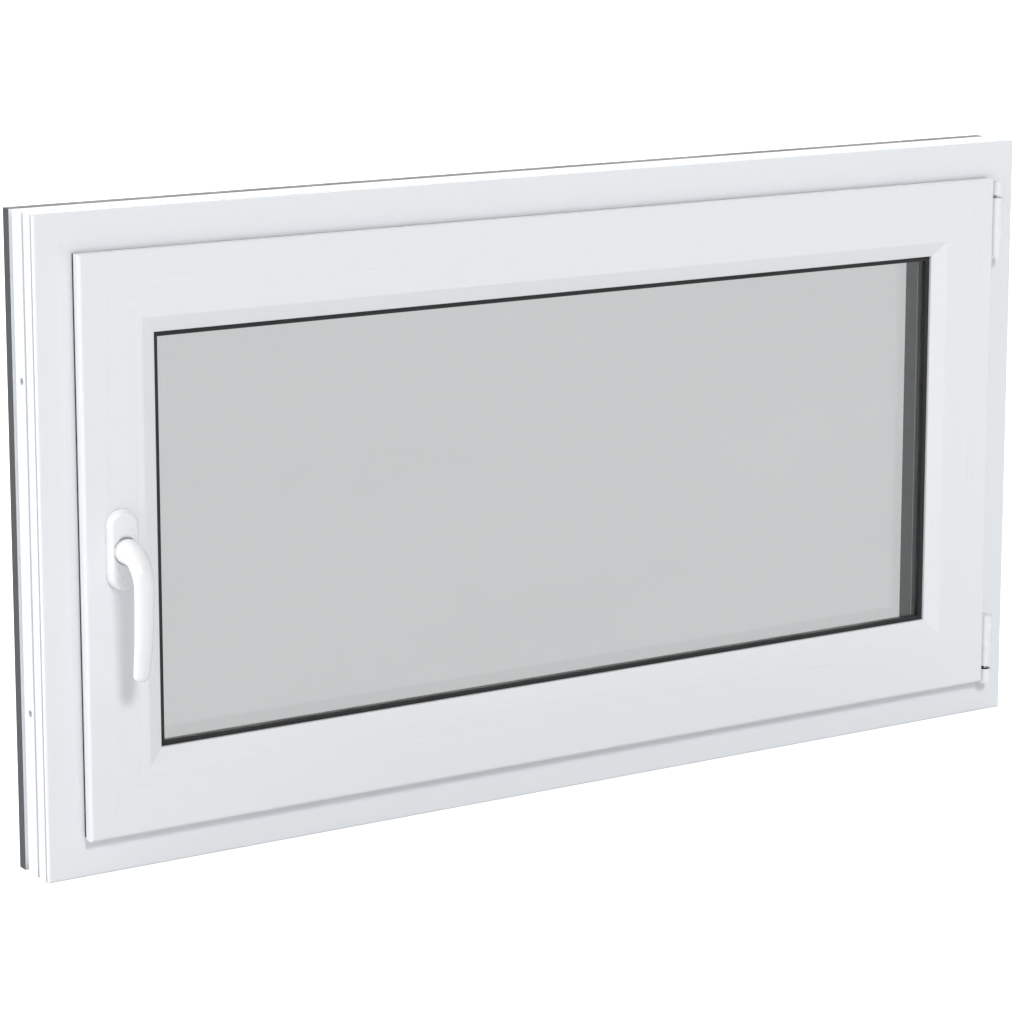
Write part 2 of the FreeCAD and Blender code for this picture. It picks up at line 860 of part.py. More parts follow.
def faceplate(label, side):
    low, high = FACEPLATES[side]
    plate = box((low, high), plate_y, plate_inset)
    tools = [cam_slot(at) for at in CAMS[side]] + plate_screws(side)
    if side == "top":
        half = 6 + STAY_SLIDE / 2
        middle = STAY_AT - STAY_SLIDE / 2 + 4
        y = (d.groove_centre - 3.5, d.groove_centre + 3.5)
        tools.append(box((middle - half, middle + half), y, (sash_side - 1, plate_under + 1)))
    return node(on_side(cut(plate, *tools), side), label)


faceplate("faceplate_handle_side", "handle")
faceplate("faceplate_top", "top")
faceplate("faceplate_bottom", "bottom")


def corner_drive(top):
    """The angle plate with its screw holes; the upper one is the lower one mirrored in height."""
    edge_x = sash_side - half_width
    guide_y = (d.groove_centre - 5, d.groove_centre + 5)
    end = d.frame_height if top else size(0)
    way = -1 if top else 1

    def level(a, b):
        low, high = end + size(a) * way, end + size(b) * way
        return (high, low) if top else (low, high)

    layers = (
        (plate_inset, plate_y, d.corner_leg),
        ((plate_under, plate_under + 4), guide_y, d.corner_leg - 4),
    )
    shapes = []
    for inset, y, leg in layers:
        x_skin = (inset[0] - half_width, inset[1] - half_width)
        shapes.append(box(x_skin, y, level(inset[0], sash_side + leg)))
        shapes.append(box((x_skin[0], edge_x + leg), y, level(inset[0], inset[1])))
    reach = sash_side + d.corner_leg - 10
    upright = screw(
        "x", (d.groove_centre, end + reach * way), edge_x, channel_floor - half_width,
        SCREW_HEAD, SCREW_SHANK, SCREW_HEAD_DEEP,
    )
    flat = screw(
        "z", (reach - half_width, d.groove_centre), end + sash_side * way, end + channel_floor * way,
        SCREW_HEAD, SCREW_SHANK, SCREW_HEAD_DEEP,
    )
    return cut(fuse(*shapes), upright, flat), [upright, flat]


drives, drive_screws = [], []
for top in (False, True):
    drive, its_screws = corner_drive(top)
    drives.append(drive)
    drive_screws += its_screws
node(group(*drives), "corner_drives")
for side in PLATE_SCREWS:
    drive_screws += [on_side(part, side) for part in plate_screws(side)]
node(group(*drive_screws), "faceplate_screws")

rod_y = (d.groove_centre - d.rod_wide / 2, d.groove_centre + d.rod_wide / 2)
pitch_inset = spindle_inset - pitch_radius
rack_root = rod_top + d.rod_thick


def rod(side):
    low, high = RODS[side]
    return box((low, high), rod_y, (rod_top, rack_root))


def cam(at):
    """A mushroom stud on the rod: its neck runs in the faceplate's slot, its head behind the keep."""
    centre = (at, d.groove_centre)
    neck = round_bar("z", centre, (sash_side - 1, rod_top), d.cam_neck)
    head = round_bar("z", centre, (lip_top + d.cam_lift, sash_side - 0.6), d.cam_head)
    return fuse(neck, head)


PRESSURE_ANGLE = math.radians(20)
RACK_TEETH = range(-2, 10)  # counted from the spindle, upward


def rack_tooth(index):
    """One straight-sided tooth on the stile's rod."""
    slope = math.tan(PRESSURE_ANGLE)
    half = gear_module * (math.pi / 4) - d.gear_play / 2
    wide = half + gear_module * (TOOTH_ROOT * slope)
    narrow = half - gear_module * (TOOTH_TIP * slope)
    tip = pitch_inset + gear_module * TOOTH_TIP
    centre = gear_module * (-math.pi * index)
    return [
        (centre - wide, rack_root),
        (centre - narrow, tip),
        (centre + narrow, tip),
        (centre + wide, rack_root),
    ]


def drive_rod():
    """The stile's rod with the rack that the handle's gear drives, drawn in the member's axes."""
    body = new_body("drive_rod")
    flat = new_sketch(body, "XY_Plane", rod_top)
    rectangle(flat, RODS["handle"], rod_y)
    pad(body, flat, d.rod_thick)
    teeth = new_sketch(body, "XZ_Plane", -(d.groove_centre + d.gear_thick / 2 + 0.5))
    for index in RACK_TEETH:
        outline(teeth, rack_tooth(index))
    pad(body, teeth, d.gear_thick + 1)
    return on_side(body, "handle")


drive_rod()
node(on_side(group(*(cam(at) for at in CAMS["handle"])), "handle"), "drive_rod_cams")
node(on_side(rod("top"), "top"), "top_rod")
node(on_side(cam(CAMS["top"][0]), "top"), "top_rod_cam")
node(on_side(rod("bottom"), "bottom"), "bottom_rod")
node(on_side(cam(CAMS["bottom"][0]), "bottom"), "bottom_rod_cam")


# ---- gearbox, spindle and handle ----

spindle_z = mid_height
CHEEK = 1.8
rack_reach = gear_module * (math.pi * (RACK_TEETH.stop - 0.5))
gearbox_half = rack_reach + CHEEK + 0.9
case_y = (d.groove_centre - half_channel, d.groove_centre + half_channel)
case_low = rack_root + 0.5
case_high = spindle_inset + pitch_radius + gear_module + 2

milled = new_sketch(handle_stile, "XY_Plane", channel_floor - 1)
rectangle(milled, (-gearbox_half, gearbox_half), case_y)
pocket(handle_stile, milled, case_high - channel_floor + 1, reverse=True)

cheek_hole = d.spindle_side * math.sqrt(0.5) + 0.35  # the spindle's corners turn in it
spindle_hole = cheek_hole + 1.2
HANDLE_SCREW = 2.5
screw_offset = d.screw_spread / 2
handle_holes = [
    (size(0), spindle_inset, spindle_hole),
    (screw_offset, spindle_inset, HANDLE_SCREW),
    (-screw_offset, spindle_inset, HANDLE_SCREW),
]
frame_drill(handle_stile, handle_holes, case_y[0] - sash_front, from_y=sash_front)

case_block = box((-gearbox_half, gearbox_half), case_y, (case_low, case_high))
case_hollow = box(
    (-gearbox_half + CHEEK, gearbox_half - CHEEK),
    (case_y[0] + CHEEK, case_y[1] - CHEEK),
    (case_low - 1, case_high - CHEEK + 0.3),
)
case_bore = round_bar("y", (0, spindle_inset), (case_y[0] - 1, case_y[1] + 1), cheek_hole)
case_screws = [
    round_bar("y", (screw_offset * sign, spindle_inset), (case_y[0] - 1, case_y[1] + 1), HANDLE_SCREW)
    for sign in (-1, 1)
]
node(on_side(cut(case_block, case_hollow, case_bore, *case_screws), "handle"), "gearbox_case")


def involute(base, radius):
    """The angle that an involute flank has turned through when it reaches a radius."""
    angle = math.acos(base / radius)
    return math.tan(angle) - angle


WHEEL_TIP, WHEEL_ROOT = 0.85, 1.15  # in modules, above and below the pitch circle
FLANK_STEPS = 6


def gear_outline():
    """Corners of the pinion, tooth by tooth, with a gap facing the rack."""
    teeth, module = round(d.gear_teeth.value), gear_module.value
    pitch = teeth * module / 2
    base = pitch * math.cos(PRESSURE_ANGLE)
    tip, root = pitch + WHEEL_TIP * module, pitch - WHEEL_ROOT * module
    half = math.pi / teeth / 2 - d.gear_play.value / 4 / pitch
    at_pitch = involute(base, pitch)
    flank = []
    for step in range(FLANK_STEPS + 1):
        radius = base + (tip - base) * step / FLANK_STEPS
        flank.append((radius, half + at_pitch - involute(base, radius)))
    flank.insert(0, (root, flank[0][1]))
    points = []
    for tooth in range(teeth):
        middle = math.pi + (tooth + 0.5) * 2 * math.pi / teeth
        for radius, angle in flank:
            points.append((radius, middle - angle))
        for radius, angle in reversed(flank):
            points.append((radius, middle + angle))
    return [Vector(r * math.cos(a), 0, r * math.sin(a)) for r, a in points]


def gear_pinion():
    """The pinion is drawn by formula, because its flanks are involutes."""
    corners = gear_outline()
    front = d.groove_centre.value - d.gear_thick.value / 2
    wheel = Part.Face(Part.makePolygon(corners + corners[:1])).extrude(Vector(0, d.gear_thick.value, 0))
    side = d.spindle_side.value
    hole = Part.makeBox(side, d.gear_thick.value + 2, side, Vector(-side / 2, -1, -side / 2))
    thing = doc.addObject("Part::Feature", "pinion")
    thing.Shape = wheel.cut(hole)
    thing.Placement = Placement(Vector(spindle_x.value, front, spindle_z.value), Rotation())
    return node(thing, "gear_pinion")


gear_pinion()

rose_front = sash_front - d.rose_deep
half_spindle = d.spindle_side / 2
node(
    box(
        (spindle_x - half_spindle, spindle_x + half_spindle),
        (rose_front - 12, d.groove_centre + d.gear_thick / 2 + 2),
        (spindle_z - half_spindle, spindle_z + half_spindle),
    ),
    "handle_spindle",
)

half_wide, half_tall = d.rose_wide / 2, d.rose_tall / 2
BASE_THICK = 4


def rose_plate(label, inset, front, back):
    """An oblong block, inset from the rosette's outline."""
    body = new_body(label)
    drawing = new_sketch(body, "XZ_Plane", -back)
    rectangle(
        drawing,
        (spindle_x - half_wide + inset, spindle_x + half_wide - inset),
        (spindle_z - half_tall + inset, spindle_z + half_tall - inset),
    )
    pad(body, drawing, size(back) - front)
    return body


def round_all(body, chooser, radius):
    base = body.Tip
    names = [f"Edge{i}" for i, edge in enumerate(base.Shape.Edges, start=1) if chooser(edge)]
    feature = body.newObject("PartDesign::Fillet", f"{body.Name}_round")
    feature.Base = (base, names)
    bind(feature, "Radius", radius)
    doc.recompute()


def runs_along_y(edge):
    a, b = edge.Vertexes[0].Point, edge.Vertexes[-1].Point
    return abs(a.x - b.x) < 1e-4 and abs(a.z - b.z) < 1e-4


def bore_y(body, spots, from_y, depth):
    drawing = new_sketch(body, "XZ_Plane", -from_y)
    for x, z, radius in spots:
        circle(drawing, x, z, radius)
    pocket(body, drawing, depth)


screw_spots = [(spindle_x, spindle_z + screw_offset * sign) for sign in (-1, 1)]
ROSE_CORNER = 6
base_front = sash_front - BASE_THICK
rose_base = rose_plate("rosette_base", d.rose_wall, base_front, sash_front)
round_all(rose_base, runs_along_y, size(ROSE_CORNER) - d.rose_wall)
bore_y(
    rose_base,
    [(spindle_x, spindle_z, spindle_hole)] + [(x, z, HANDLE_SCREW) for x, z in screw_spots],
    base_front,
    size(BASE_THICK),
)

rose_cover = rose_plate("rosette_cover", size(0), rose_front, sash_front)
round_all(rose_cover, runs_along_y, size(ROSE_CORNER))
round_all(rose_cover, lambda edge: abs(edge.BoundBox.YMax - rose_front.value) < 1e-4, size(3))
hollow = new_sketch(rose_cover, "XZ_Plane", -sash_front)
rectangle(
    hollow,
    (spindle_x - half_wide + d.rose_wall, spindle_x + half_wide - d.rose_wall),
    (spindle_z - half_tall + d.rose_wall, spindle_z + half_tall - d.rose_wall),
)
pocket(rose_cover, hollow, d.rose_deep - d.rose_wall, reverse=True)
neck_clear = d.neck_radius + 0.4
bore_y(rose_cover, [(spindle_x, spindle_z, neck_clear)], rose_front, d.rose_deep)

HEAD_HIGH, HEAD_RADIUS = 2.4, 4
handle_screws = [
    screw("y", spot, base_front - HEAD_HIGH, case_y[1], HEAD_RADIUS, HANDLE_SCREW, HEAD_HIGH)
    for spot in screw_spots
]
node(group(*handle_screws), "handle_screws")


def ellipse(x, y, z, half_x, half_y):
    """A level ellipse, for lofting; the longer half axis comes first in the primitive."""
    thing = doc.addObject("Part::Ellipse", "lever_section")
    bind(thing, "MajorRadius", half_x)
    bind(thing, "MinorRadius", half_y)
    return place(thing, x, y, z)


# Down the grip: share of the drop, share of the full section, and how far it has come back.
GRIP_STATIONS = (
    (-0.095, 0.80, 1.5),
    (-0.03, 1.0, 0.3),
    (0.15, 0.98, 0.0),
    (0.4, 0.95, 0.6),
    (0.7, 0.95, 3.2),
    (0.92, 0.9, 6.6),
    (0.985, 0.74, 7.9),
    (1.0, 0.5, 8.3),
)


def handle_lever():
    """A neck out of the rosette and a grip that bows outward and back towards its tip."""
    out = sash_front - d.lever_out - d.lever_thick / 2
    half_x, half_y = d.lever_wide / 2, d.lever_thick / 2
    loft = doc.addObject("Part::Loft", "grip")
    loft.Sections = [
        ellipse(spindle_x, out + back - 2, spindle_z - d.lever_drop * share, half_x * wide, half_y * wide)
        for share, wide, back in GRIP_STATIONS
    ]
    loft.Solid = True
    neck = round_bar("y", (spindle_x, spindle_z), (out, sash_front - BASE_THICK - 0.6), d.neck_radius - 1)
    socket = box(
        (spindle_x - half_spindle, spindle_x + half_spindle),
        (rose_front - 12, sash_front),
        (spindle_z - half_spindle, spindle_z + half_spindle),
    )
    return node(cut(fuse(loft, neck), socket), "handle_lever")


handle_lever()


# ---- hinges ----

# Heights of the bottom hinge, from the sash's lower edge.
ball_level = sash_edge + 3.3
cup_low, cup_high = ball_level - 6, ball_level + 9
band_bottom, band_top = sash_edge + 16, sash_edge + 68
pin_top = band_top - 6
PLATE_THICK = 3
BAND_SCREW_APART = 12
plate_x = (hinge_x - 6.2, hinge_x + 6.5)
knuckle = (hinge_x, hinge_y)
strap_y = (flange_back, flange_back + d.band_thick)
FIXING_DEEP = 12  # how far the hinges' screws and pegs run into the frame
SCREW_SHANK_RADIUS, PEG_RADIUS = 1.9, 1.9
COVER_END = 1.2


def hinge_cover(low, high, closed_below=False):
    """A sleeve round a knuckle, squared off on the side away from the sash."""
    sleeve = round_bar("z", knuckle, (low, high), d.cover_radius)
    fill = box((hinge_x, hinge_x + d.cover_radius), (hinge_y, room_y), (low, high))
    bore_low = low + COVER_END if closed_below else low - 1
    bore = round_bar("z", knuckle, (bore_low, high + 1), d.knuckle_radius)
    plate = box(plate_x, (room_y - PLATE_THICK, room_y + 1), (bore_low, high + 1))
    return cut(fuse(sleeve, fill), bore, plate)


def back_plate(low, high):
    """The flat part of a frame hinge, against the frame's room face."""
    return box(plate_x, (room_y - PLATE_THICK, room_y), (low, high))


# The lower rest holds the ball in a cup. Two pegs on its back are pressed into the jamb.
peg_levels = [(cup_low + cup_high) / 2 + 3.3 * sign for sign in (-1, 1)]
pegs = [
    round_bar("y", (hinge_x, z), (room_y - PLATE_THICK, room_y + FIXING_DEEP), PEG_RADIUS) for z in peg_levels
]
cup_tube = round_bar("z", knuckle, (cup_low, cup_high), d.knuckle_radius)
cup = round_bar("z", knuckle, (ball_level - d.ball_radius - 0.2, cup_high + 1), d.ball_radius + 0.3)
node(fuse(cut(fuse(cup_tube, back_plate(cup_low, cup_high)), cup), *pegs), "pivot_rest")
node(hinge_cover(cup_low, cup_high), "pivot_rest_cover")

# The upper bearing holds the stay's pin. Two screws below its knuckle fasten it to the jamb.
bearing_high = arm_level - 6.5
bearing_low = bearing_high - 38.5
bearing_foot = bearing_high - 60.5
bearing_levels = [bearing_foot + rise for rise in (5.5, 14.5)]


def face_screw(z):
    head, tip = room_y - PLATE_THICK, room_y + FIXING_DEEP
    return screw("y", (hinge_x, z), head, tip, SCREW_HEAD, SCREW_SHANK_RADIUS, SCREW_HEAD_DEEP)


bearing_tube = round_bar("z", knuckle, (bearing_low, bearing_high), d.knuckle_radius)
bearing_bore = round_bar("z", knuckle, (bearing_low + 2, bearing_high + 1), d.pin_radius + d.fit_gap)
bearing_block = fuse(bearing_tube, back_plate(bearing_foot, bearing_high))
node(cut(bearing_block, bearing_bore, *(face_screw(z) for z in bearing_levels)), "stay_bearing")
node(round_bar("z", knuckle, (bearing_low + 2, bearing_high), d.pin_radius), "stay_bearing_pin")
node(hinge_cover(bearing_foot - COVER_END, bearing_high, closed_below=True), "stay_bearing_cover")
node(group(*(face_screw(z) for z in bearing_levels)), "frame_hinge_screws")

hinge_inset = half_width - hinge_x
hinge_spots = [(z - mid_height, hinge_inset, SCREW_SHANK_RADIUS) for z in bearing_levels]
hinge_spots += [(z - mid_height, hinge_inset, PEG_RADIUS) for z in peg_levels]
frame_drill(hinge_jamb, hinge_spots, size(FIXING_DEEP), from_y=room_y)

pin_ball = ball(*knuckle, ball_level, d.ball_radius)
pin_shank = round_bar("z", knuckle, (ball_level, pin_top), d.pin_radius)
node(fuse(pin_ball, pin_shank), "pivot_pin")

stile_x = half_width - sash_side
band_tube = round_bar("z", knuckle, (band_bottom, band_top), d.knuckle_radius)
band_strap = box((stile_x, hinge_x), strap_y, (band_low, band_high))
band_leaf = box((stile_x, stile_x + d.band_thick), (flange_back, size(-8)), (band_low, band_high))
band_bore = round_bar("z", knuckle, (band_bottom - 1, pin_top + 1), d.pin_radius + d.fit_gap)
band_middle = (band_low + band_high) / 2
band_levels = [band_middle + BAND_SCREW_APART * step for step in (-1, 0, 1)]


def band_screw(z):
    head, tip = stile_x + d.band_thick, half_width - channel_floor
    return screw("x", (d.groove_centre, z), head, tip, SCREW_HEAD, SCREW_SHANK, SCREW_HEAD_DEEP)


band_screws = [band_screw(z) for z in band_levels]
node(cut(fuse(band_tube, band_strap, band_leaf), band_bore, *band_screws), "corner_hinge_band")
node(group(*(band_screw(z) for z in band_levels)), "corner_hinge_screws")
band_sleeve = round_bar("z", knuckle, (band_bottom, band_top + 1.2), d.cover_radius)
sleeve_bore = round_bar("z", knuckle, (band_bottom - 1, band_top), d.knuckle_radius)
sleeve_slot = box((stile_x, hinge_x), strap_y, (band_low, band_high))
node(cut(band_sleeve, sleeve_bore, sleeve_slot), "corner_hinge_cover")


# ---- tilt stay ----

arm_low = d.frame_height - sash_side + 4
arm_z = (arm_low, arm_low + d.arm_thick)
stay_x = -STAY_AT
half_arm = d.arm_wide / 2
STUD = 3
STAY_PLAY = 0.6  # the arm rocks a little on its stud as the sash tilts
slider = box((stay_x - 15, stay_x + 15), (d.groove_centre - half_arm + 1, d.groove_centre + half_arm - 1),
             (d.frame_height - sash_side + 0.2, arm_low - STAY_PLAY))
foot = box((stay_x - 6, stay_x + 6), (d.groove_centre - 3, d.groove_centre + 3),
           (d.frame_height - sash_side - 4, d.frame_height - sash_side + 1))
stud_centre = (stay_x, d.groove_centre)
arm_top = arm_low + d.arm_thick
stud = round_bar("z", stud_centre, (arm_low - 1, arm_top + STAY_PLAY), size(STUD))
stud_head = round_bar("z", stud_centre, (arm_top + STAY_PLAY, arm_top + STAY_PLAY + 1.4), size(STUD) + 2)
node(fuse(slider, foot, stud, stud_head), "stay_slider")

arm_knuckle = (arm_level - 3.4, arm_level + 9)
arm_eye = d.knuckle_radius - 0.5
STAY_CAP_WALL = 0.9
strap_end = stile_x + 6
TAB_START, TAB_RISE, TAB_CLEAR = 3, 4.6, 0.2
WEB_WIDE = 9
bar = box((stay_x - 8, stile_x - 12), (d.groove_centre - half_arm, d.groove_centre + half_arm), arm_z)
web = box((stile_x - 40, strap_end), (flange_back + TAB_CLEAR, flange_back + WEB_WIDE), arm_z)
tab_y = (flange_back + TAB_CLEAR, flange_back + TAB_CLEAR + d.band_thick)
tab = box((stile_x + TAB_START, hinge_x), tab_y, (arm_knuckle[0], arm_level + TAB_RISE))
arm_tube = round_bar("z", knuckle, arm_knuckle, arm_eye)
arm_bore = round_bar("z", knuckle, (arm_knuckle[0] - 1, arm_knuckle[1] - 3), d.pin_radius + d.fit_gap)
stud_hole = round_bar("z", stud_centre, (arm_low - 1, arm_top + 1), size(STUD) + 0.15)
node(cut(fuse(bar, web, tab, arm_tube), stud_hole, arm_bore), "stay_arm")
cap_sleeve = round_bar("z", knuckle, (arm_knuckle[0], arm_knuckle[1] + 1), arm_eye + STAY_CAP_WALL)
cap_bore = round_bar("z", knuckle, (arm_knuckle[0] - 1, arm_knuckle[1]), arm_eye)
cap_slot = box((stile_x, hinge_x), tab_y, (arm_knuckle[0] - 0.1, arm_level + TAB_RISE))
node(cut(cap_sleeve, cap_bore, cap_slot), "stay_arm_cap")


# ---- check everything, then write one file for each sub-part ----

doc.recompute()
faults = [f"{o.Name}: {o.State}" for o in doc.Objects if {"Invalid", "Error"} & set(o.State)]
for part in nodes:
    if part.Shape.isNull() or not part.Shape.isValid() or not part.Shape.Solids:
        faults.append(f"{part.Label}: empty or broken shape")
labels = [part.Label for part in nodes]
if len(set(labels)) != len(labels):
    faults.append("two sub-parts share a label")
if faults:
    for fault in faults:
        print(fault)
    sys.exit(1)

os.makedirs("parts", exist_ok=True)
for part in nodes:
    part.Shape.exportStep(f"parts/{part.Label}.step")
print(len(nodes), "sub-parts written")
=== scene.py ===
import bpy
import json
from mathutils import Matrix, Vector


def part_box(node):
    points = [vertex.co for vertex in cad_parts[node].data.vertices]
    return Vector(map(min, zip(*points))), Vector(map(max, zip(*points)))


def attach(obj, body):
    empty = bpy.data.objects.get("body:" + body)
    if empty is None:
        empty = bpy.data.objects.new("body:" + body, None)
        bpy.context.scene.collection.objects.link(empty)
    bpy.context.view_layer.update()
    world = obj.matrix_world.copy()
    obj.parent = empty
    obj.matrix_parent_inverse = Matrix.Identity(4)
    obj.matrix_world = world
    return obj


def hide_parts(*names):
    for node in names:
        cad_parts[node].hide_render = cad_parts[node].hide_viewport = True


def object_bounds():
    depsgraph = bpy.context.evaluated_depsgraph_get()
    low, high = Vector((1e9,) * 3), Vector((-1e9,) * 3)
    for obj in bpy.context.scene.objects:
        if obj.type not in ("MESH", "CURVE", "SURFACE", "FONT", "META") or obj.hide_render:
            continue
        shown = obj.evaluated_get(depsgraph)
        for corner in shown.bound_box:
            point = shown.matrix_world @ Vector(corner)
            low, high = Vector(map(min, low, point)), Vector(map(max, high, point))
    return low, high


bl_info = {
    "name": "Tilt-and-turn window",
    "version": (1, 0, 0),
    "blender": (4, 5, 0),
    "location": "3D View > Sidebar > Window",
    "description": "Finishes, fine pieces and a studio for a plastic tilt-and-turn window",
    "category": "Object",
}

import json
import math

import bmesh
import bpy
from bpy.props import FloatProperty, FloatVectorProperty, PointerProperty
from mathutils import Matrix, Vector

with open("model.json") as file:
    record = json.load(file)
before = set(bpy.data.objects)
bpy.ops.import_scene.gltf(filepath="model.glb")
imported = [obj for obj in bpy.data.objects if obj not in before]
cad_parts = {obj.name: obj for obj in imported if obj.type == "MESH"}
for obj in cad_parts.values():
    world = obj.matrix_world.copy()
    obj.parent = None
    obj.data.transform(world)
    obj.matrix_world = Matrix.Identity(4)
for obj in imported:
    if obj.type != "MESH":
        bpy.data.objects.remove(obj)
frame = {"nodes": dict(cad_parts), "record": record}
cad_low, cad_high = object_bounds()

# +X points to the hinges, -Y into the room, +Z up. Metres.
MM = 0.001
ROSE_LOW, ROSE_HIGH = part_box("rosette_cover")
LEVER_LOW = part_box("handle_lever")[0]
SPINDLE_LOW, SPINDLE_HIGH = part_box("handle_spindle")
SPINDLE = (SPINDLE_LOW + SPINDLE_HIGH) / 2


# ---- what a user would change ----

def colour(name, text, default):
    return FloatVectorProperty(
        name=name, description=text, subtype="COLOR", size=3, min=0, max=1, default=default
    )


def length(name, text, default):
    return FloatProperty(name=name, description=text, subtype="DISTANCE", unit="LENGTH", default=default)


class WindowColours(bpy.types.PropertyGroup):
    upvc: colour("White plastic", "Frame, sash and beads", (0.85, 0.875, 0.90))
    cover: colour("Hinge covers", "Moulded covers over the hinges and the handle's base", (0.87, 0.89, 0.91))
    handle: colour("Handle coat", "Powder coat on the lever", (0.90, 0.915, 0.93))
    foil: colour("Outside film", "Anthracite film on the outer faces", (0.060, 0.063, 0.067))
    rubber: colour("Seals", "Gaskets between the frame, the sash and the glass", (0.016, 0.016, 0.017))
    spacer: colour("Spacer", "Warm-edge spacer bar between the panes", (0.045, 0.050, 0.049))
    glass: colour("Glass", "Tint of one pane", (0.87, 0.89, 0.89))
    zinc: colour("Hardware", "Silver zinc plate", (0.60, 0.61, 0.62))


class WindowHandle(bpy.types.PropertyGroup):
    neck_radius: length("Neck radius", "Where the lever leaves the rosette", 11.5 * MM)
    elbow_radius: length("Elbow radius", "Bend from the neck into the grip", 27 * MM)
    grip_half_width: length("Grip half width", "Across the grip, seen from the room", 9.3 * MM)
    grip_half_thick: length("Grip half thickness", "Through the grip, front to back", 5.8 * MM)
    grip_return: length("Grip return", "How far the grip comes back towards the sash at its tip", 10 * MM)
    rose_round: length("Rosette rounding", "Radius round the rosette's front edge", 4.2 * MM)
    rose_wall: length("Rosette wall", "Thickness of the hollow cover", 1.1 * MM)


class WindowHardware(bpy.types.PropertyGroup):
    edge: length("Edge break", "Small rounding on stamped and moulded pieces", 0.35 * MM)
    thread_pitch: length("Thread pitch", "Pitch of the screws", 1.3 * MM)
    recess_width: length("Recess width", "Width of the cross in a screw's head", 0.75 * MM)


class WindowStage(bpy.types.PropertyGroup):
    sky: FloatProperty(name="Sky", description="Strength of the even light all round", default=0.40, min=0)
    key: FloatProperty(name="Key light", description="Soft light from above, in front", default=1.15, min=0)
    side: FloatProperty(
        name="Side light", description="Broad light from the handle's side", default=2.1, min=0
    )
    back: FloatProperty(name="Back light", description="Broad light from outside", default=1.3, min=0)
    behind_glass: FloatProperty(
        name="Behind glass", description="Brightness seen through the panes", default=0.74
    )
    lens: FloatProperty(name="Lens", description="Focal length in millimetres", default=123.7, min=10)
    shift: FloatProperty(name="Lens shift", description="Vertical shift, in sensor widths", default=-0.1)


# ---- node helpers ----

def add(tree, kind, values=(), **settings):
    """A new node with its settings, and its inputs by name."""
    made = tree.nodes.new(kind)
    for key, value in settings.items():
        setattr(made, key, value)
    for key, value in dict(values).items():
        made.inputs[key].default_value = value
    return made


def new_group(name, inputs, outputs):
    """A shader group; an input is (name, kind, default)."""
    tree = bpy.data.node_groups.new(name, "ShaderNodeTree")
    for label, kind, value in inputs:
        socket = tree.interface.new_socket(name=label, in_out="INPUT", socket_type=kind)
        if value is not None:
            socket.default_value = value
    for label, kind in outputs:
        tree.interface.new_socket(name=label, in_out="OUTPUT", socket_type=kind)
    return tree, add(tree, "NodeGroupInput"), add(tree, "NodeGroupOutput")


VECTOR, FLOAT = "NodeSocketVector", "NodeSocketFloat"


def stretched_noise(tree, vector, stretch, scale, detail):
    """Noise pulled out along the axes by a scale on each."""
    link = tree.links.new
    pulled = add(tree, "ShaderNodeVectorMath", operation="MULTIPLY")
    link(vector, pulled.inputs[0])
    link(stretch, pulled.inputs[1])
    noise = add(tree, "ShaderNodeTexNoise", {"Detail": detail})
    link(pulled.outputs[0], noise.inputs["Vector"])
    link(scale, noise.inputs["Scale"])
    return noise.outputs["Fac"]


def product(tree, a, b):
    """Two values multiplied."""
    made = add(tree, "ShaderNodeMath", operation="MULTIPLY")
    tree.links.new(a, made.inputs[0])
    tree.links.new(b, made.inputs[1])
    return made.outputs[0]


def fit(tree, value, low, high):
    """Remaps 0.3..0.7 of a noise to low..high, given as numbers or sockets."""
    ranged = add(tree, "ShaderNodeMapRange", {"From Min": 0.3, "From Max": 0.7})
    tree.links.new(value, ranged.inputs["Value"])
    for label, amount in (("To Min", low), ("To Max", high)):
        if isinstance(amount, (int, float)):
            ranged.inputs[label].default_value = amount
        else:
            tree.links.new(amount, ranged.inputs[label])
    return ranged.outputs["Result"]


def grain_group():
    """Fine relief, slow colour drift and gloss drift, from noise stretched the same way."""
    tree, start, end = new_group(
        "surface_grain",
        [
            ("Vector", VECTOR, None),
            ("Stretch", VECTOR, (1, 1, 1)),
            ("Fineness", FLOAT, 900),
            ("Drift Size", FLOAT, 7),
            ("Tone Low", FLOAT, 0.97),
            ("Gloss Low", FLOAT, 0.25),
            ("Gloss High", FLOAT, 0.35),
        ],
        [("Height", FLOAT), ("Tone", FLOAT), ("Roughness", FLOAT)],
    )
    given = start.outputs
    fine = stretched_noise(tree, given["Vector"], given["Stretch"], given["Fineness"], 4)
    slow = stretched_noise(tree, given["Vector"], given["Stretch"], given["Drift Size"], 3)
    tree.links.new(fine, end.inputs["Height"])
    tree.links.new(fit(tree, slow, given["Tone Low"], 1.0), end.inputs["Tone"])
    tree.links.new(fit(tree, slow, given["Gloss Low"], given["Gloss High"]), end.inputs["Roughness"])
    return tree


def dust_group():
    """Where dust settles: faces that look up, in soft patches."""
    tree, start, end = new_group(
        "settled_dust", [("Vector", VECTOR, None), ("Amount", FLOAT, 0.15)], [("Mask", FLOAT)]
    )
    facing = add(tree, "ShaderNodeSeparateXYZ")
    tree.links.new(add(tree, "ShaderNodeNewGeometry").outputs["Normal"], facing.inputs[0])
    upward = add(tree, "ShaderNodeMapRange", {"From Min": 0.55, "From Max": 1.0})
    tree.links.new(facing.outputs["Z"], upward.inputs["Value"])
    patches = add(tree, "ShaderNodeTexNoise", {"Scale": 38, "Detail": 5})
    tree.links.new(start.outputs["Vector"], patches.inputs["Vector"])
    patchy = product(tree, upward.outputs["Result"], fit(tree, patches.outputs["Fac"], 0.3, 1.0))
    tree.links.new(product(tree, patchy, start.outputs["Amount"]), end.inputs["Mask"])
    return tree


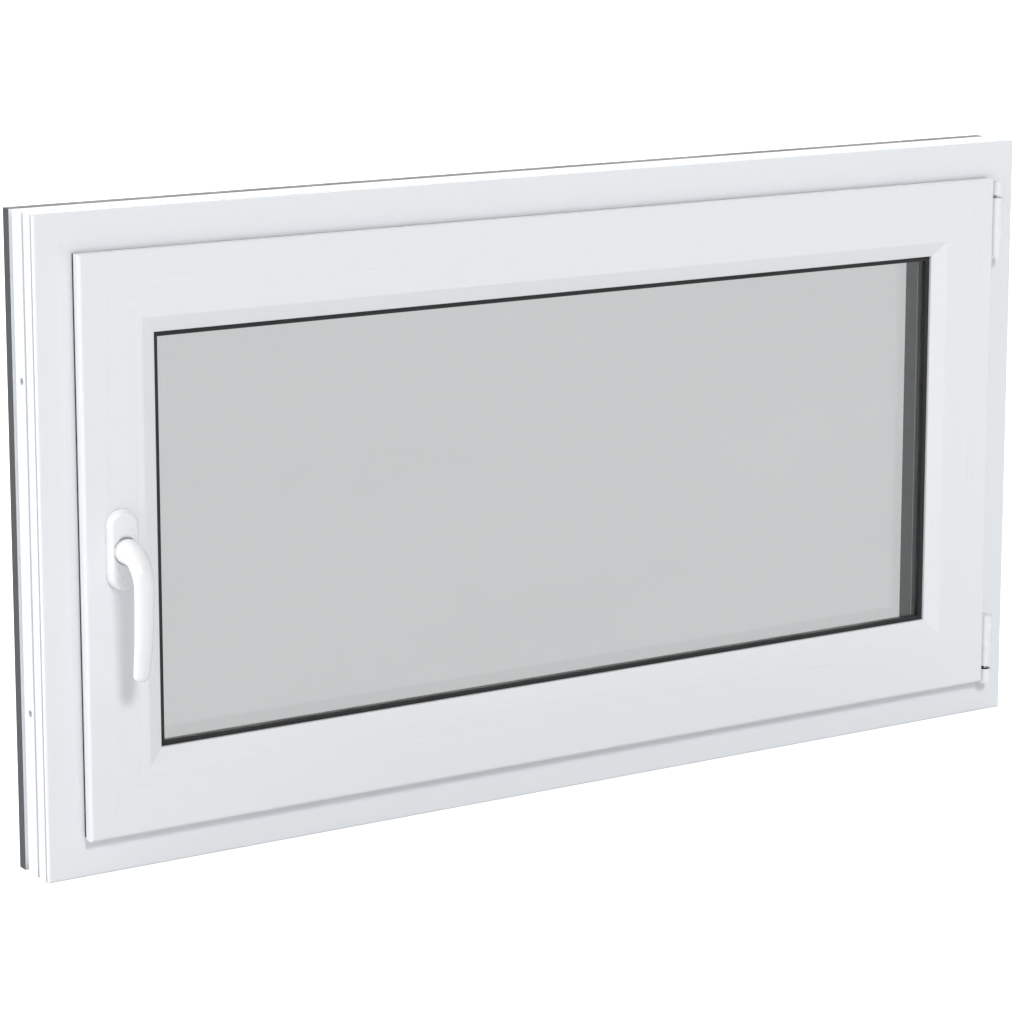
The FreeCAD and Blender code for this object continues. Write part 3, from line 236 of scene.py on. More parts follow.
def edge_group():
    """A mask along sharp edges: wear where coatings thin, and a painted highlight."""
    tree, start, end = new_group(
        "edge_wear",
        [("Vector", VECTOR, None), ("Width", FLOAT, 0.001), ("Amount", FLOAT, 0.3)],
        [("Mask", FLOAT)],
    )
    rounded = add(tree, "ShaderNodeBevel", samples=4)
    tree.links.new(start.outputs["Width"], rounded.inputs["Radius"])
    true = add(tree, "ShaderNodeNewGeometry")
    same = add(tree, "ShaderNodeVectorMath", operation="DOT_PRODUCT")
    tree.links.new(rounded.outputs["Normal"], same.inputs[0])
    tree.links.new(true.outputs["Normal"], same.inputs[1])
    sharp = add(tree, "ShaderNodeMapRange", {"From Min": 0.99, "From Max": 0.80})
    tree.links.new(same.outputs["Value"], sharp.inputs["Value"])
    broken = add(tree, "ShaderNodeTexNoise", {"Scale": 260, "Detail": 4})
    tree.links.new(start.outputs["Vector"], broken.inputs["Vector"])
    patchy = product(tree, sharp.outputs["Result"], fit(tree, broken.outputs["Fac"], 0.2, 1.0))
    tree.links.new(product(tree, patchy, start.outputs["Amount"]), end.inputs["Mask"])
    return tree


def dots_group():
    """A grid of small round holes, for the spacer bar."""
    tree, start, end = new_group(
        "hole_rows",
        [("Vector", VECTOR, None), ("Pitch", FLOAT, 0.004), ("Radius", FLOAT, 0.0006)],
        [("Mask", FLOAT)],
    )
    cells = add(tree, "ShaderNodeVectorMath", operation="DIVIDE")
    pitches = add(tree, "ShaderNodeCombineXYZ")
    for axis in "XYZ":
        tree.links.new(start.outputs["Pitch"], pitches.inputs[axis])
    tree.links.new(start.outputs["Vector"], cells.inputs[0])
    tree.links.new(pitches.outputs[0], cells.inputs[1])
    within = add(tree, "ShaderNodeVectorMath", operation="FRACTION")
    tree.links.new(cells.outputs[0], within.inputs[0])
    centred = add(tree, "ShaderNodeVectorMath", operation="SUBTRACT")
    tree.links.new(within.outputs[0], centred.inputs[0])
    centred.inputs[1].default_value = (0.5, 0.5, 0.5)
    scaled = add(tree, "ShaderNodeVectorMath", operation="MULTIPLY")
    tree.links.new(centred.outputs[0], scaled.inputs[0])
    tree.links.new(pitches.outputs[0], scaled.inputs[1])
    far = add(tree, "ShaderNodeVectorMath", operation="LENGTH")
    tree.links.new(scaled.outputs[0], far.inputs[0])
    inside = add(tree, "ShaderNodeMath", operation="LESS_THAN")
    tree.links.new(far.outputs["Value"], inside.inputs[0])
    tree.links.new(start.outputs["Radius"], inside.inputs[1])
    tree.links.new(inside.outputs[0], end.inputs["Mask"])
    return tree


def place_group(tree, group, values):
    """A shared group in a material, with its own values."""
    made = add(tree, "ShaderNodeGroup")
    made.node_tree = group
    for key, value in values.items():
        made.inputs[key].default_value = value
    return made


def mixed(tree, factor, a, b, blend="MIX"):
    """A colour mix; a and b are sockets or plain colours."""
    mix = add(tree, "ShaderNodeMix", data_type="RGBA", blend_type=blend)
    if isinstance(factor, (int, float)):
        mix.inputs["Factor"].default_value = factor
    else:
        tree.links.new(factor, mix.inputs["Factor"])
    for socket, value in ((mix.inputs[6], a), (mix.inputs[7], b)):
        if isinstance(value, bpy.types.NodeSocket):
            tree.links.new(value, socket)
        else:
            socket.default_value = (*value, 1)
    return mix.outputs[2]


DUST_COLOUR = (0.60, 0.58, 0.55)


def finish(name, base, grain, relief, dust=0.0, edge=None, metallic=0.0, shader_values=()):
    """A full material: grain in colour, gloss and relief, dust on top faces, and edges made lighter as wear
    and painted highlight.
    """
    made = bpy.data.materials.new(name)
    made.use_nodes = True
    tree = made.node_tree
    shader = tree.nodes["Principled BSDF"]
    place = add(tree, "ShaderNodeTexCoord").outputs["Object"]
    grained = place_group(tree, bpy.data.node_groups["surface_grain"], grain)
    tree.links.new(place, grained.inputs["Vector"])
    tint = mixed(tree, 1.0, base, grained.outputs["Tone"], "MULTIPLY")
    # The lighter edges are wear and a painted highlight.
    if edge:
        width, amount, edge_colour = edge
        worn_and_highlit = place_group(tree, bpy.data.node_groups["edge_wear"], {"Width": width, "Amount": amount})
        tree.links.new(place, worn_and_highlit.inputs["Vector"])
        tint = mixed(tree, worn_and_highlit.outputs["Mask"], tint, edge_colour)
    if dust:
        settled = place_group(tree, bpy.data.node_groups["settled_dust"], {"Amount": dust})
        tree.links.new(place, settled.inputs["Vector"])
        tint = mixed(tree, settled.outputs["Mask"], tint, DUST_COLOUR)
    tree.links.new(tint, shader.inputs["Base Color"])
    tree.links.new(grained.outputs["Roughness"], shader.inputs["Roughness"])
    bump = add(tree, "ShaderNodeBump", {"Strength": relief[0], "Distance": relief[1]})
    tree.links.new(grained.outputs["Height"], bump.inputs["Height"])
    tree.links.new(bump.outputs["Normal"], shader.inputs["Normal"])
    shader.inputs["Metallic"].default_value = metallic
    for key, value in dict(shader_values).items():
        shader.inputs[key].default_value = value
    return made


ALONG = {"x": (0.02, 1, 1), "z": (1, 1, 0.02)}  # a drawn profile's lines run along its length


def upvc(axis, colours):
    """Extruded plastic: faint draw lines along the profile, satin gloss."""
    grain = {"Stretch": ALONG[axis], "Fineness": 700, "Drift Size": 16, "Tone Low": 0.992,
             "Gloss Low": 0.26, "Gloss High": 0.36}
    return finish(
        f"white_upvc_along_{axis}", colours.upvc, grain, (0.06, 0.00008), dust=0.03,
        shader_values={"Coat Weight": 0.12, "Coat Roughness": 0.18},
    )


def moulded(name, base, gloss, fineness=1400, relief=(0.10, 0.00005), **extra):
    """A moulded or coated surface with an even grain."""
    grain = {"Fineness": fineness, "Drift Size": 30, "Tone Low": 0.975,
             "Gloss Low": gloss[0], "Gloss High": gloss[1]}
    return finish(name, base, grain, relief, **extra)


def embossed_film(colours):
    """Outdoor film with an embossed leather-like grain and edges made paler, as wear and as a painted
    highlight.
    """
    grain = {"Stretch": (1, 1, 1), "Fineness": 1500, "Drift Size": 24, "Tone Low": 0.80,
             "Gloss Low": 0.42, "Gloss High": 0.58}
    return finish("anthracite_film", colours.foil, grain, (0.3, 0.0001), dust=0.10,
                  edge=(0.0008, 0.25, (0.16, 0.165, 0.17)))


# Edges of the metal pieces are made brighter: wear to bare metal and a painted highlight.
EDGE_WEAR_AND_HIGHLIGHT = 0.35
BARE_METAL_AND_HIGHLIGHT = (0.86, 0.86, 0.86)


def plated(name, base, gloss, stretch=(1, 1, 1), fineness=500, tone=0.86):
    """Plated or cast metal with fine working marks, and edges made brighter as wear and a painted highlight.
    """
    grain = {"Stretch": stretch, "Fineness": fineness, "Drift Size": 45, "Tone Low": tone,
             "Gloss Low": gloss[0], "Gloss High": gloss[1]}
    worn_and_highlit = (0.0005, EDGE_WEAR_AND_HIGHLIGHT, BARE_METAL_AND_HIGHLIGHT)
    return finish(name, base, grain, (0.18, 0.00006), edge=worn_and_highlit, metallic=1.0)


def galvanised(colours):
    """Hot-dip zinc with its crystal spangle."""
    made = plated("galvanised_steel", colours.zinc, (0.32, 0.5))
    tree = made.node_tree
    shader = tree.nodes["Principled BSDF"]
    crystals = add(tree, "ShaderNodeTexVoronoi", {"Scale": 140})
    tree.links.new(add(tree, "ShaderNodeTexCoord").outputs["Object"], crystals.inputs["Vector"])
    shade = add(tree, "ShaderNodeSeparateColor")
    tree.links.new(crystals.outputs["Color"], shade.inputs[0])
    spangle = add(tree, "ShaderNodeMapRange", {"To Min": 0.75, "To Max": 1.0})
    tree.links.new(shade.outputs[0], spangle.inputs["Value"])
    before = shader.inputs["Base Color"].links[0].from_socket
    tint = mixed(tree, 1.0, before, spangle.outputs["Result"], "MULTIPLY")
    tree.links.new(tint, shader.inputs["Base Color"])
    return made


# Painted shade: the near-black that stands for the shade inside the spacer's holes.
PAINTED_HOLE_SHADE = (0.004, 0.004, 0.004)


def perforated_spacer(colours):
    """Matt spacer with rows of small desiccant holes, painted black as the shade inside them."""
    made = moulded("perforated_spacer", colours.spacer, (0.45, 0.6), fineness=900)
    tree = made.node_tree
    shader = tree.nodes["Principled BSDF"]
    holes = place_group(tree, bpy.data.node_groups["hole_rows"], {"Pitch": 0.0045, "Radius": 0.0007})
    tree.links.new(add(tree, "ShaderNodeTexCoord").outputs["Object"], holes.inputs["Vector"])
    before = shader.inputs["Base Color"].links[0].from_socket
    tint = mixed(tree, holes.outputs["Mask"], before, PAINTED_HOLE_SHADE)
    tree.links.new(tint, shader.inputs["Base Color"])
    return made


def clear_glass(colours):
    """Float glass with a faint film of wiping marks in its gloss."""
    made = bpy.data.materials.new("float_glass_pane")
    made.use_nodes = True
    tree = made.node_tree
    shader = tree.nodes["Principled BSDF"]
    shader.inputs["Transmission Weight"].default_value = 1.0
    shader.inputs["IOR"].default_value = 1.52
    marks = place_group(tree, bpy.data.node_groups["surface_grain"], {
        "Stretch": (0.5, 1, 1.6), "Fineness": 30, "Drift Size": 5, "Tone Low": 0.985,
        "Gloss Low": 0.0, "Gloss High": 0.012,
    })
    tree.links.new(add(tree, "ShaderNodeTexCoord").outputs["Object"], marks.inputs["Vector"])
    tree.links.new(marks.outputs["Roughness"], shader.inputs["Roughness"])
    tint = mixed(tree, 1.0, tuple(colours.glass), marks.outputs["Tone"], "MULTIPLY")
    tree.links.new(tint, shader.inputs["Base Color"])
    return made


def make_finishes(colours):
    """One material for each finish of the window, by name."""
    base = {key: tuple(getattr(colours, key)) for key in ("cover", "handle", "rubber", "zinc")}
    coat = {"Coat Weight": 0.25, "Coat Roughness": 0.12}
    return {
        "upvc_x": upvc("x", colours),
        "upvc_z": upvc("z", colours),
        "cover": moulded("moulded_cover", base["cover"], (0.24, 0.32), shader_values=coat),
        "handle": moulded("powder_coat", base["handle"], (0.26, 0.36), fineness=1100, relief=(0.22, 0.00009),
                          shader_values=coat),
        "base_plate": moulded("base_plate_plastic", (0.72, 0.73, 0.74), (0.45, 0.6)),
        "film": embossed_film(colours),
        # The cap's edges are made paler: wear and a painted highlight.
        "cap": moulded("drain_cap_plastic", tuple(colours.foil), (0.45, 0.6),
                       edge=(0.0006, 0.3, (0.14, 0.14, 0.15))),
        "seal": moulded("seal_rubber", base["rubber"], (0.55, 0.72), fineness=1900, relief=(0.35, 0.00008)),
        "glazing_seal": moulded("glazing_seal_rubber", base["rubber"], (0.5, 0.66), fineness=1900,
                                relief=(0.35, 0.00008)),
        "glass": clear_glass(colours),
        "spacer": perforated_spacer(colours),
        "sealant": moulded("butyl_sealant", (0.012, 0.012, 0.013), (0.5, 0.7), fineness=220,
                           relief=(0.4, 0.0003)),
        "blocks": moulded("block_plastic", (0.07, 0.20, 0.45), (0.4, 0.55)),
        "zinc": galvanised(colours),
        "plate_x": plated("plated_steel_along_x", base["zinc"], (0.22, 0.36), stretch=(0.03, 1, 1)),
        "plate_z": plated("plated_steel_along_z", base["zinc"], (0.22, 0.36), stretch=(1, 1, 0.03)),
        "turned": plated("turned_steel", (0.55, 0.55, 0.56), (0.18, 0.3), stretch=(1, 0.1, 1)),
        "cast": plated("cast_zinc", (0.46, 0.47, 0.48), (0.38, 0.55), fineness=900, tone=0.8),
        "bright": plated("bright_steel", (0.66, 0.66, 0.67), (0.12, 0.22), fineness=800),
        "screw": plated("screw_steel", (0.62, 0.62, 0.60), (0.2, 0.34), fineness=900),
        "hinge": plated("silver_coated_hinge", (0.58, 0.59, 0.60), (0.3, 0.42), fineness=1200),
    }


FINISH_OF = {
    "upvc_x": ("frame_sill", "frame_head", "sash_bottom_rail", "sash_top_rail", "bead_bottom", "bead_top"),
    "upvc_z": ("frame_jamb_handle_side", "frame_jamb_hinge_side", "sash_handle_stile", "sash_hinge_stile",
               "bead_handle_side", "bead_hinge_side"),
    "cover": ("rosette_cover", "corner_hinge_cover", "pivot_rest_cover", "stay_bearing_cover",
              "stay_arm_cap"),
    "handle": ("handle_lever",),
    "base_plate": ("rosette_base",),
    "film": ("frame_outer_foil", "sash_outer_foil"),
    "cap": ("drainage_caps",),
    "seal": ("frame_gasket", "sash_gasket"),
    "glazing_seal": ("glazing_gasket_inner", "glazing_gasket_outer"),
    "glass": ("glass_inner_pane", "glass_outer_pane"),
    "spacer": ("spacer_bar",),
    "sealant": ("edge_sealant",),
    "blocks": ("setting_blocks",),
    "zinc": ("frame_steels", "sash_steels"),
    "plate_x": ("faceplate_top", "faceplate_bottom", "top_rod", "bottom_rod", "stay_slider", "stay_arm",
                "tilt_keep"),
    "plate_z": ("faceplate_handle_side", "corner_drives", "drive_rod", "lock_keeps"),
    "turned": ("drive_rod_cams", "top_rod_cam", "bottom_rod_cam"),
    "cast": ("gearbox_case", "gear_pinion"),
    "bright": ("handle_spindle", "pivot_pin", "stay_bearing_pin"),
    "screw": ("faceplate_screws", "keep_screws", "handle_screws", "corner_hinge_screws",
              "frame_hinge_screws"),
    "hinge": ("corner_hinge_band", "pivot_rest", "stay_bearing"),
}
BODY_OF = {name: body for body, names in frame["record"]["behaviour"]["bodies"].items() for name in names}
finishes = {}


def finish_for(name):
    return finishes[next(key for key, names in FINISH_OF.items() if name in names)]


# ---- meshes ----

def keep_piece(piece, *names):
    """Gives a finished piece the body, slot and finish of the nodes it stands for."""
    piece.data.materials.clear()
    piece.data.materials.append(finish_for(names[0]))
    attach(piece, BODY_OF[names[0]])
    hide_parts(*names)
    return piece


def new_piece(name, mesh):
    piece = bpy.data.objects.new(name, mesh)
    bpy.context.scene.collection.objects.link(piece)
    return piece


def skin(name, rings, closed_loop=False):
    """A mesh through rings of equal count; open ends are closed with fans."""
    bm = bmesh.new()
    loops = [[bm.verts.new(p) for p in ring] for ring in rings]
    pairs = list(zip(loops, loops[1:]))
    if closed_loop:
        pairs.append((loops[-1], loops[0]))
    for a, b in pairs:
        count = len(a)
        for i in range(count):
            j = (i + 1) % count
            bm.faces.new((a[i], a[j], b[j], b[i]))
    if not closed_loop:
        for loop in (loops[0], loops[-1]):
            middle = bm.verts.new(sum((v.co for v in loop), Vector()) / len(loop))
            for i in range(len(loop)):
                bm.faces.new((loop[i], loop[(i + 1) % len(loop)], middle))
    bmesh.ops.recalc_face_normals(bm, faces=bm.faces)
    mesh = bpy.data.meshes.new(name)
    bm.to_mesh(mesh)
    bm.free()
    mesh.shade_smooth()
    return mesh


def evaluated(piece):
    """The piece's mesh with its modifiers applied, which are then removed."""
    graph = bpy.context.evaluated_depsgraph_get()
    graph.update()
    done = bpy.data.meshes.new_from_object(piece.evaluated_get(graph))
    piece.modifiers.clear()
    old = piece.data
    piece.data = done
    bpy.data.meshes.remove(old)
    return piece


FLAT = math.radians(1)
SHARP = math.radians(35)


def softened(name, width):
    """A copy of a CAD node, merged, with its sharp edges rounded a little."""
    bm = bmesh.new()
    bm.from_mesh(frame["nodes"][name].data)
    bmesh.ops.remove_doubles(bm, verts=bm.verts, dist=1e-6)
    bmesh.ops.dissolve_limit(bm, angle_limit=FLAT, verts=bm.verts, edges=bm.edges)
    mesh = bpy.data.meshes.new(f"{name}_fine")
    bm.to_mesh(mesh)
    bm.free()
    piece = new_piece(f"{name}_fine", mesh)
    bevel = piece.modifiers.new("edge", "BEVEL")
    bevel.width = width
    bevel.segments = 3
    bevel.limit_method = "ANGLE"
    bevel.angle_limit = SHARP
    bevel.use_clamp_overlap = True
    bevel.harden_normals = True
    evaluated(piece)
    piece.data.shade_smooth()
    return keep_piece(piece, name)


# ---- operators, one for each group of pieces ----

class WINDOW_OT_finishes(bpy.types.Operator):
    """Build every finish and give each CAD piece its own"""
    bl_idname = "window.finishes"
    bl_label = "Finishes"

    def execute(self, context):
        for build in (grain_group, dust_group, edge_group, dots_group):
            build()
        finishes.update(make_finishes(context.scene.window_colours))
        for key, names in FINISH_OF.items():
            for name in names:
                for holder in frame["nodes"][name].material_slots:
                    holder.material = finishes[key]
        return {"FINISHED"}


RING_POINTS = 64
NECK_SUNK = 2 * MM  # of the neck's end, behind the rosette's front
GRIP_GAP = 0.2 * MM  # kept between the grip and the front of its CAD box
ELBOW_STEPS, GRIP_STEPS = 14, 48
BOW = 2.2  # power by which the grip comes back towards the sash
TIP_LEAST = 0.03  # of its full size, where the tip's last section is closed
TAPER = 0.2  # of the grip's width, lost by its tip
TIP_SHARE = 0.93  # of the grip's length, where its rounded tip begins


def lever_line(sizes):
    """The lever's sections from the rosette to the tip: y, z, turn, half width, half thickness."""
    grip_y = LEVER_LOW.y + sizes.grip_half_thick + GRIP_GAP
    neck_end = grip_y + sizes.elbow_radius
    stations = [(ROSE_LOW.y + NECK_SUNK, SPINDLE.z, 0.0, sizes.neck_radius, sizes.neck_radius)]
    for step in range(ELBOW_STEPS + 1):
        share = step / ELBOW_STEPS
        turn = share * math.pi / 2
        wide = sizes.neck_radius + (sizes.grip_half_width - sizes.neck_radius) * share
        thick = sizes.neck_radius + (sizes.grip_half_thick - sizes.neck_radius) * math.sin(turn)
        y = neck_end - sizes.elbow_radius * math.sin(turn)
        z = SPINDLE.z - sizes.elbow_radius * (1 - math.cos(turn))
        stations.append((y, z, turn, wide, thick))
    top, tip = SPINDLE.z - sizes.elbow_radius, LEVER_LOW.z
    for step in range(1, GRIP_STEPS + 1):
        share = math.sin(step / GRIP_STEPS * math.pi / 2)
        y = grip_y + sizes.grip_return * share ** BOW
        z = top + (tip - top) * share
        lean = math.atan2(BOW * sizes.grip_return * share ** (BOW - 1), top - tip)
        close = 1.0
        if share > TIP_SHARE:
            close = math.sqrt(max(0.0, 1 - ((share - TIP_SHARE) / (1 - TIP_SHARE)) ** 2))
        close = max(close, TIP_LEAST)
        wide = sizes.grip_half_width * (1 - TAPER * share ** 2)
        stations.append((y, z, math.pi / 2 + lean, wide * close, sizes.grip_half_thick * close))
    return stations


class WINDOW_OT_lever(bpy.types.Operator):
    """Sweep the lever: a round neck, a smooth elbow and an oval grip"""
    bl_idname = "window.lever"
    bl_label = "Handle lever"

    def execute(self, context):
        rings = []
        for y, z, turn, wide, thick in lever_line(context.scene.window_handle):
            across = Vector((0, -math.sin(turn), math.cos(turn)))
            middle = Vector((SPINDLE.x, y, z))
            angles = [2 * math.pi * i / RING_POINTS for i in range(RING_POINTS)]
            rings.append([
                middle + Vector((1, 0, 0)) * wide * math.cos(a) + across * thick * math.sin(a) for a in angles
            ])
        keep_piece(new_piece("handle_lever_fine", skin("handle_lever_fine", rings)), "handle_lever")
        return {"FINISHED"}


def rounded(half_wide, half_tall, corner, y):
    """A rounded rectangle about the spindle, by angle."""
    inner_x, inner_z = half_wide - corner, half_tall - corner
    ring = []
    for i in range(RING_POINTS * 2):
        angle = math.pi * (i + 0.5) / RING_POINTS
        c, s = math.cos(angle), math.sin(angle)
        across, up = abs(c), abs(s)
        if half_wide * up <= inner_z * across:
            reach = half_wide / across
        elif half_tall * across <= inner_x * up:
            reach = half_tall / up
        else:
            along = inner_x * across + inner_z * up
            reach = along + math.sqrt(along ** 2 - inner_x ** 2 - inner_z ** 2 + corner ** 2)
        ring.append(Vector((SPINDLE.x + reach * c, y, SPINDLE.z + reach * s)))
    return ring


def blend_rings(a, b, share, y):
    return [Vector((p.x + (q.x - p.x) * share, y, p.z + (q.z - p.z) * share)) for p, q in zip(a, b)]


EDGE_STEPS = 12
COLLAR_RISE = 0.5 * MM  # of the collar's rim above the rounded front edge
UNROUNDED = 2 * MM  # of the depth: the collar's rise and the straight side at the back
RIM_SHARES = (0.3, 0.6, 0.85, 1.0)  # of the way from the front edge to the hole
NECK_CLEAR = 0.4 * MM  # between the neck and the hole
BASE_CLEAR = 0.6 * MM  # between the base and the cover's inside wall
SKIRT = 3 * MM  # of the inside wall, straight at the back


class WINDOW_OT_rosette(bpy.types.Operator):
    """Mould the hollow rosette cover with its rounded front edge and the collar round the neck"""
    bl_idname = "window.rosette"
    bl_label = "Rosette cover"

    def execute(self, context):
        sizes = context.scene.window_handle
        half_wide = (ROSE_HIGH.x - ROSE_LOW.x) / 2
        half_tall = (ROSE_HIGH.z - ROSE_LOW.z) / 2
        front, back = ROSE_LOW.y, ROSE_HIGH.y
        rounding, wall = sizes.rose_round, sizes.rose_wall
        hole_radius = sizes.neck_radius + NECK_CLEAR
        deep = back - front
        rings = [rounded(half_wide, half_tall, half_wide, back)]
        for step in range(EDGE_STEPS + 1):
            turn = step / EDGE_STEPS * math.pi / 2
            inset = rounding * (1 - math.cos(turn))
            y = front + COLLAR_RISE + (deep - UNROUNDED) * (1 - math.sin(turn))
            rings.append(rounded(half_wide - inset, half_tall - inset, half_wide - inset, y))
        rim = rings[-1]
        hole = rounded(hole_radius, hole_radius, hole_radius, front)
        for share in RIM_SHARES:
            rings.append(blend_rings(rim, hole, share, front + COLLAR_RISE * (1 - share ** 2)))
        rings.append(blend_rings(rim, hole, 1.0, front + wall))
        for inset, y in ((2 * wall + rounding / 2, front + wall), (wall, back - SKIRT), (wall, back)):
            rings.append(rounded(half_wide - inset, half_tall - inset, half_wide - inset, y))
        cover = new_piece("rosette_cover_fine", skin("rosette_cover_fine", rings, closed_loop=True))
        keep_piece(cover, "rosette_cover")

        base_low, base_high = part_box("rosette_base")
        wide, tall = half_wide - wall - BASE_CLEAR, half_tall - wall - BASE_CLEAR
        rings = []
        for radius_x, radius_z, y in (
            (wide, tall, base_high.y), (wide, tall, base_low.y),
            (hole_radius, hole_radius, base_low.y), (hole_radius, hole_radius, base_high.y),
        ):
            rings.append(rounded(radius_x, radius_z, radius_x, y))
        base = new_piece("rosette_base_fine", skin("rosette_base_fine", rings, closed_loop=True))
        base.data.shade_flat()
        keep_piece(base, "rosette_base")
        return {"FINISHED"}


SOFT_COVERS = ("corner_hinge_cover", "pivot_rest_cover", "stay_bearing_cover", "stay_arm_cap")
COVER_EDGE = 1.6  # times the edge width used on the metal pieces
SOFT_METAL = ("drainage_caps", "lock_keeps", "tilt_keep", "faceplate_handle_side", "faceplate_top",
              "faceplate_bottom", "corner_drives", "stay_arm", "stay_slider", "corner_hinge_band")


class WINDOW_OT_covers(bpy.types.Operator):
    """Round the edges of the moulded hinge covers"""
    bl_idname = "window.covers"
    bl_label = "Hinge covers"

    def execute(self, context):
        for name in SOFT_COVERS:
            softened(name, context.scene.window_hardware.edge * COVER_EDGE)
        return {"FINISHED"}


class WINDOW_OT_hardware(bpy.types.Operator):
    """Break the edges of the stamped plates, keeps, straps and caps"""
    bl_idname = "window.hardware"
    bl_label = "Plates and keeps"

    def execute(self, context):
        for name in SOFT_METAL:
            softened(name, context.scene.window_hardware.edge)
        return {"FINISHED"}


# ---- screws ----

def islands(mesh):
    """Each separate solid of a mesh, as its list of corners."""
    bm = bmesh.new()
    bm.from_mesh(mesh)
    bmesh.ops.remove_doubles(bm, verts=bm.verts, dist=1e-6)
    left = set(bm.verts)
    found = []
    while left:
        queue = [left.pop()]
        group = []
        while queue:
            vert = queue.pop()
            group.append(vert.co.copy())
            for edge in vert.link_edges:
                other = edge.other_vert(vert)
                if other in left:
                    left.remove(other)
                    queue.append(other)
        found.append(group)
    bm.free()
    return found


def screw_facts(points):
    """A screw's head centre, direction from head to tip, length, head radius and shank radius."""
    low = Vector([min(p[i] for p in points) for i in range(3)])
    high = Vector([max(p[i] for p in points) for i in range(3)])
    span = high - low
    axis = max(range(3), key=lambda i: span[i])
    middle = (low + high) / 2
    ends = []
    for end in (low[axis], high[axis]):
        reach = max(
            math.dist([p[i] for i in range(3) if i != axis], [middle[i] for i in range(3) if i != axis])
            for p in points if abs(p[axis] - end) < 1e-5
        )
        ends.append((reach, end))
    (head_radius, head), (shank_radius, tip) = sorted(ends, reverse=True)
    top = middle.copy()
    top[axis] = head
    way = Vector()
    way[axis] = 1 if tip > head else -1
    return top, way, abs(tip - head), head_radius, shank_radius


THREAD_STEPS = 24
THREAD_DEEP = 0.14  # of the shank's radius
POINT_SHARE = 0.18  # of the length, tapered to the tip
TIP_RADIUS = 0.2  # of the shank's radius
RECESS_SPAN = 1.15  # of the head's radius
RECESS_DEEP = 1.1  # of the head's depth, half of it above the head
LEVELS_A_TURN = 4
HEAD_OF_LENGTH, HEAD_OF_RADIUS = 0.2, 0.42  # the head's greatest depth
PAN_HEAD = ((0.0, 0.16), (0.12, 0.05), (0.35, 0.0), (1.0, 0.0))  # share of its depth, inset


def screw_mesh(name, long, head_radius, shank_radius, pitch, recess):
    """A pan-head screw along -Z from its head's top at the origin, threaded, with a cross recess."""
    rings = []

    def ring(z, radius_at):
        rings.append([
            Vector((radius_at(a) * math.cos(a), radius_at(a) * math.sin(a), z))
            for a in (2 * math.pi * i / THREAD_STEPS for i in range(THREAD_STEPS))
        ])

    head_deep = min(long * HEAD_OF_LENGTH, head_radius * HEAD_OF_RADIUS)
    for share, inset in PAN_HEAD:
        ring(-head_deep * share, lambda a, inset=inset: head_radius * (1 - inset))
    turns = max(3, round((long - head_deep) / pitch))
    levels = turns * LEVELS_A_TURN
    for level in range(levels + 1):
        share = level / levels
        z = -head_deep - (long - head_deep) * share
        taper = min(1.0, (1 - share) / POINT_SHARE * (1 - TIP_RADIUS) + TIP_RADIUS)

        def thread(a, level=level, taper=taper):
            wave = 0.5 + 0.5 * math.cos(a + level * 2 * math.pi / LEVELS_A_TURN)
            return shank_radius * taper * (1 - THREAD_DEEP * wave)

        ring(z, thread)
    mesh = skin(name, rings)
    screw = bpy.data.objects.new(name, mesh)
    bpy.context.scene.collection.objects.link(screw)
    cutters = []
    for turn in (0, math.pi / 2):
        bm = bmesh.new()
        bmesh.ops.create_cube(bm, size=1, matrix=Matrix.Rotation(turn, 4, "Z") @ Matrix.Diagonal(
            (head_radius * RECESS_SPAN, recess, head_deep * RECESS_DEEP, 1)))
        cross = bpy.data.meshes.new("recess")
        bm.to_mesh(cross)
        bm.free()
        cutter = new_piece("recess", cross)
        cutters.append(cutter)
        hollow = screw.modifiers.new("recess", "BOOLEAN")
        hollow.object = cutter
        hollow.operation = "DIFFERENCE"
        hollow.solver = "EXACT"
    evaluated(screw)
    for cutter in cutters:
        bpy.data.objects.remove(cutter)
    return screw


def scatter_tree(name, prototype, material):
    """Puts a prototype on each point, turned to the point's direction, and makes it real."""
    tree = bpy.data.node_groups.new(name, "GeometryNodeTree")
    tree.interface.new_socket(name="Geometry", in_out="INPUT", socket_type="NodeSocketGeometry")
    size = tree.interface.new_socket(name="Size", in_out="INPUT", socket_type="NodeSocketFloat")
    size.default_value = 1.0
    tree.interface.new_socket(name="Geometry", in_out="OUTPUT", socket_type="NodeSocketGeometry")
    start, end = add(tree, "NodeGroupInput"), add(tree, "NodeGroupOutput")
    shape = add(tree, "GeometryNodeObjectInfo", {"Object": prototype, "As Instance": True})
    heading = add(tree, "GeometryNodeInputNamedAttribute", {"Name": "heading"}, data_type="FLOAT_VECTOR")
    turned = add(tree, "FunctionNodeAlignRotationToVector", axis="Z")
    tree.links.new(heading.outputs["Attribute"], turned.inputs["Vector"])
    placed = add(tree, "GeometryNodeInstanceOnPoints")
    tree.links.new(start.outputs["Geometry"], placed.inputs["Points"])
    tree.links.new(shape.outputs["Geometry"], placed.inputs["Instance"])
    tree.links.new(turned.outputs["Rotation"], placed.inputs["Rotation"])
    tree.links.new(start.outputs["Size"], placed.inputs["Scale"])
    real = add(tree, "GeometryNodeRealizeInstances")
    tree.links.new(placed.outputs["Instances"], real.inputs["Geometry"])
    coated = add(tree, "GeometryNodeSetMaterial", {"Material": material})
    tree.links.new(real.outputs["Geometry"], coated.inputs["Geometry"])
    tree.links.new(coated.outputs["Geometry"], end.inputs["Geometry"])
    return tree, size.identifier


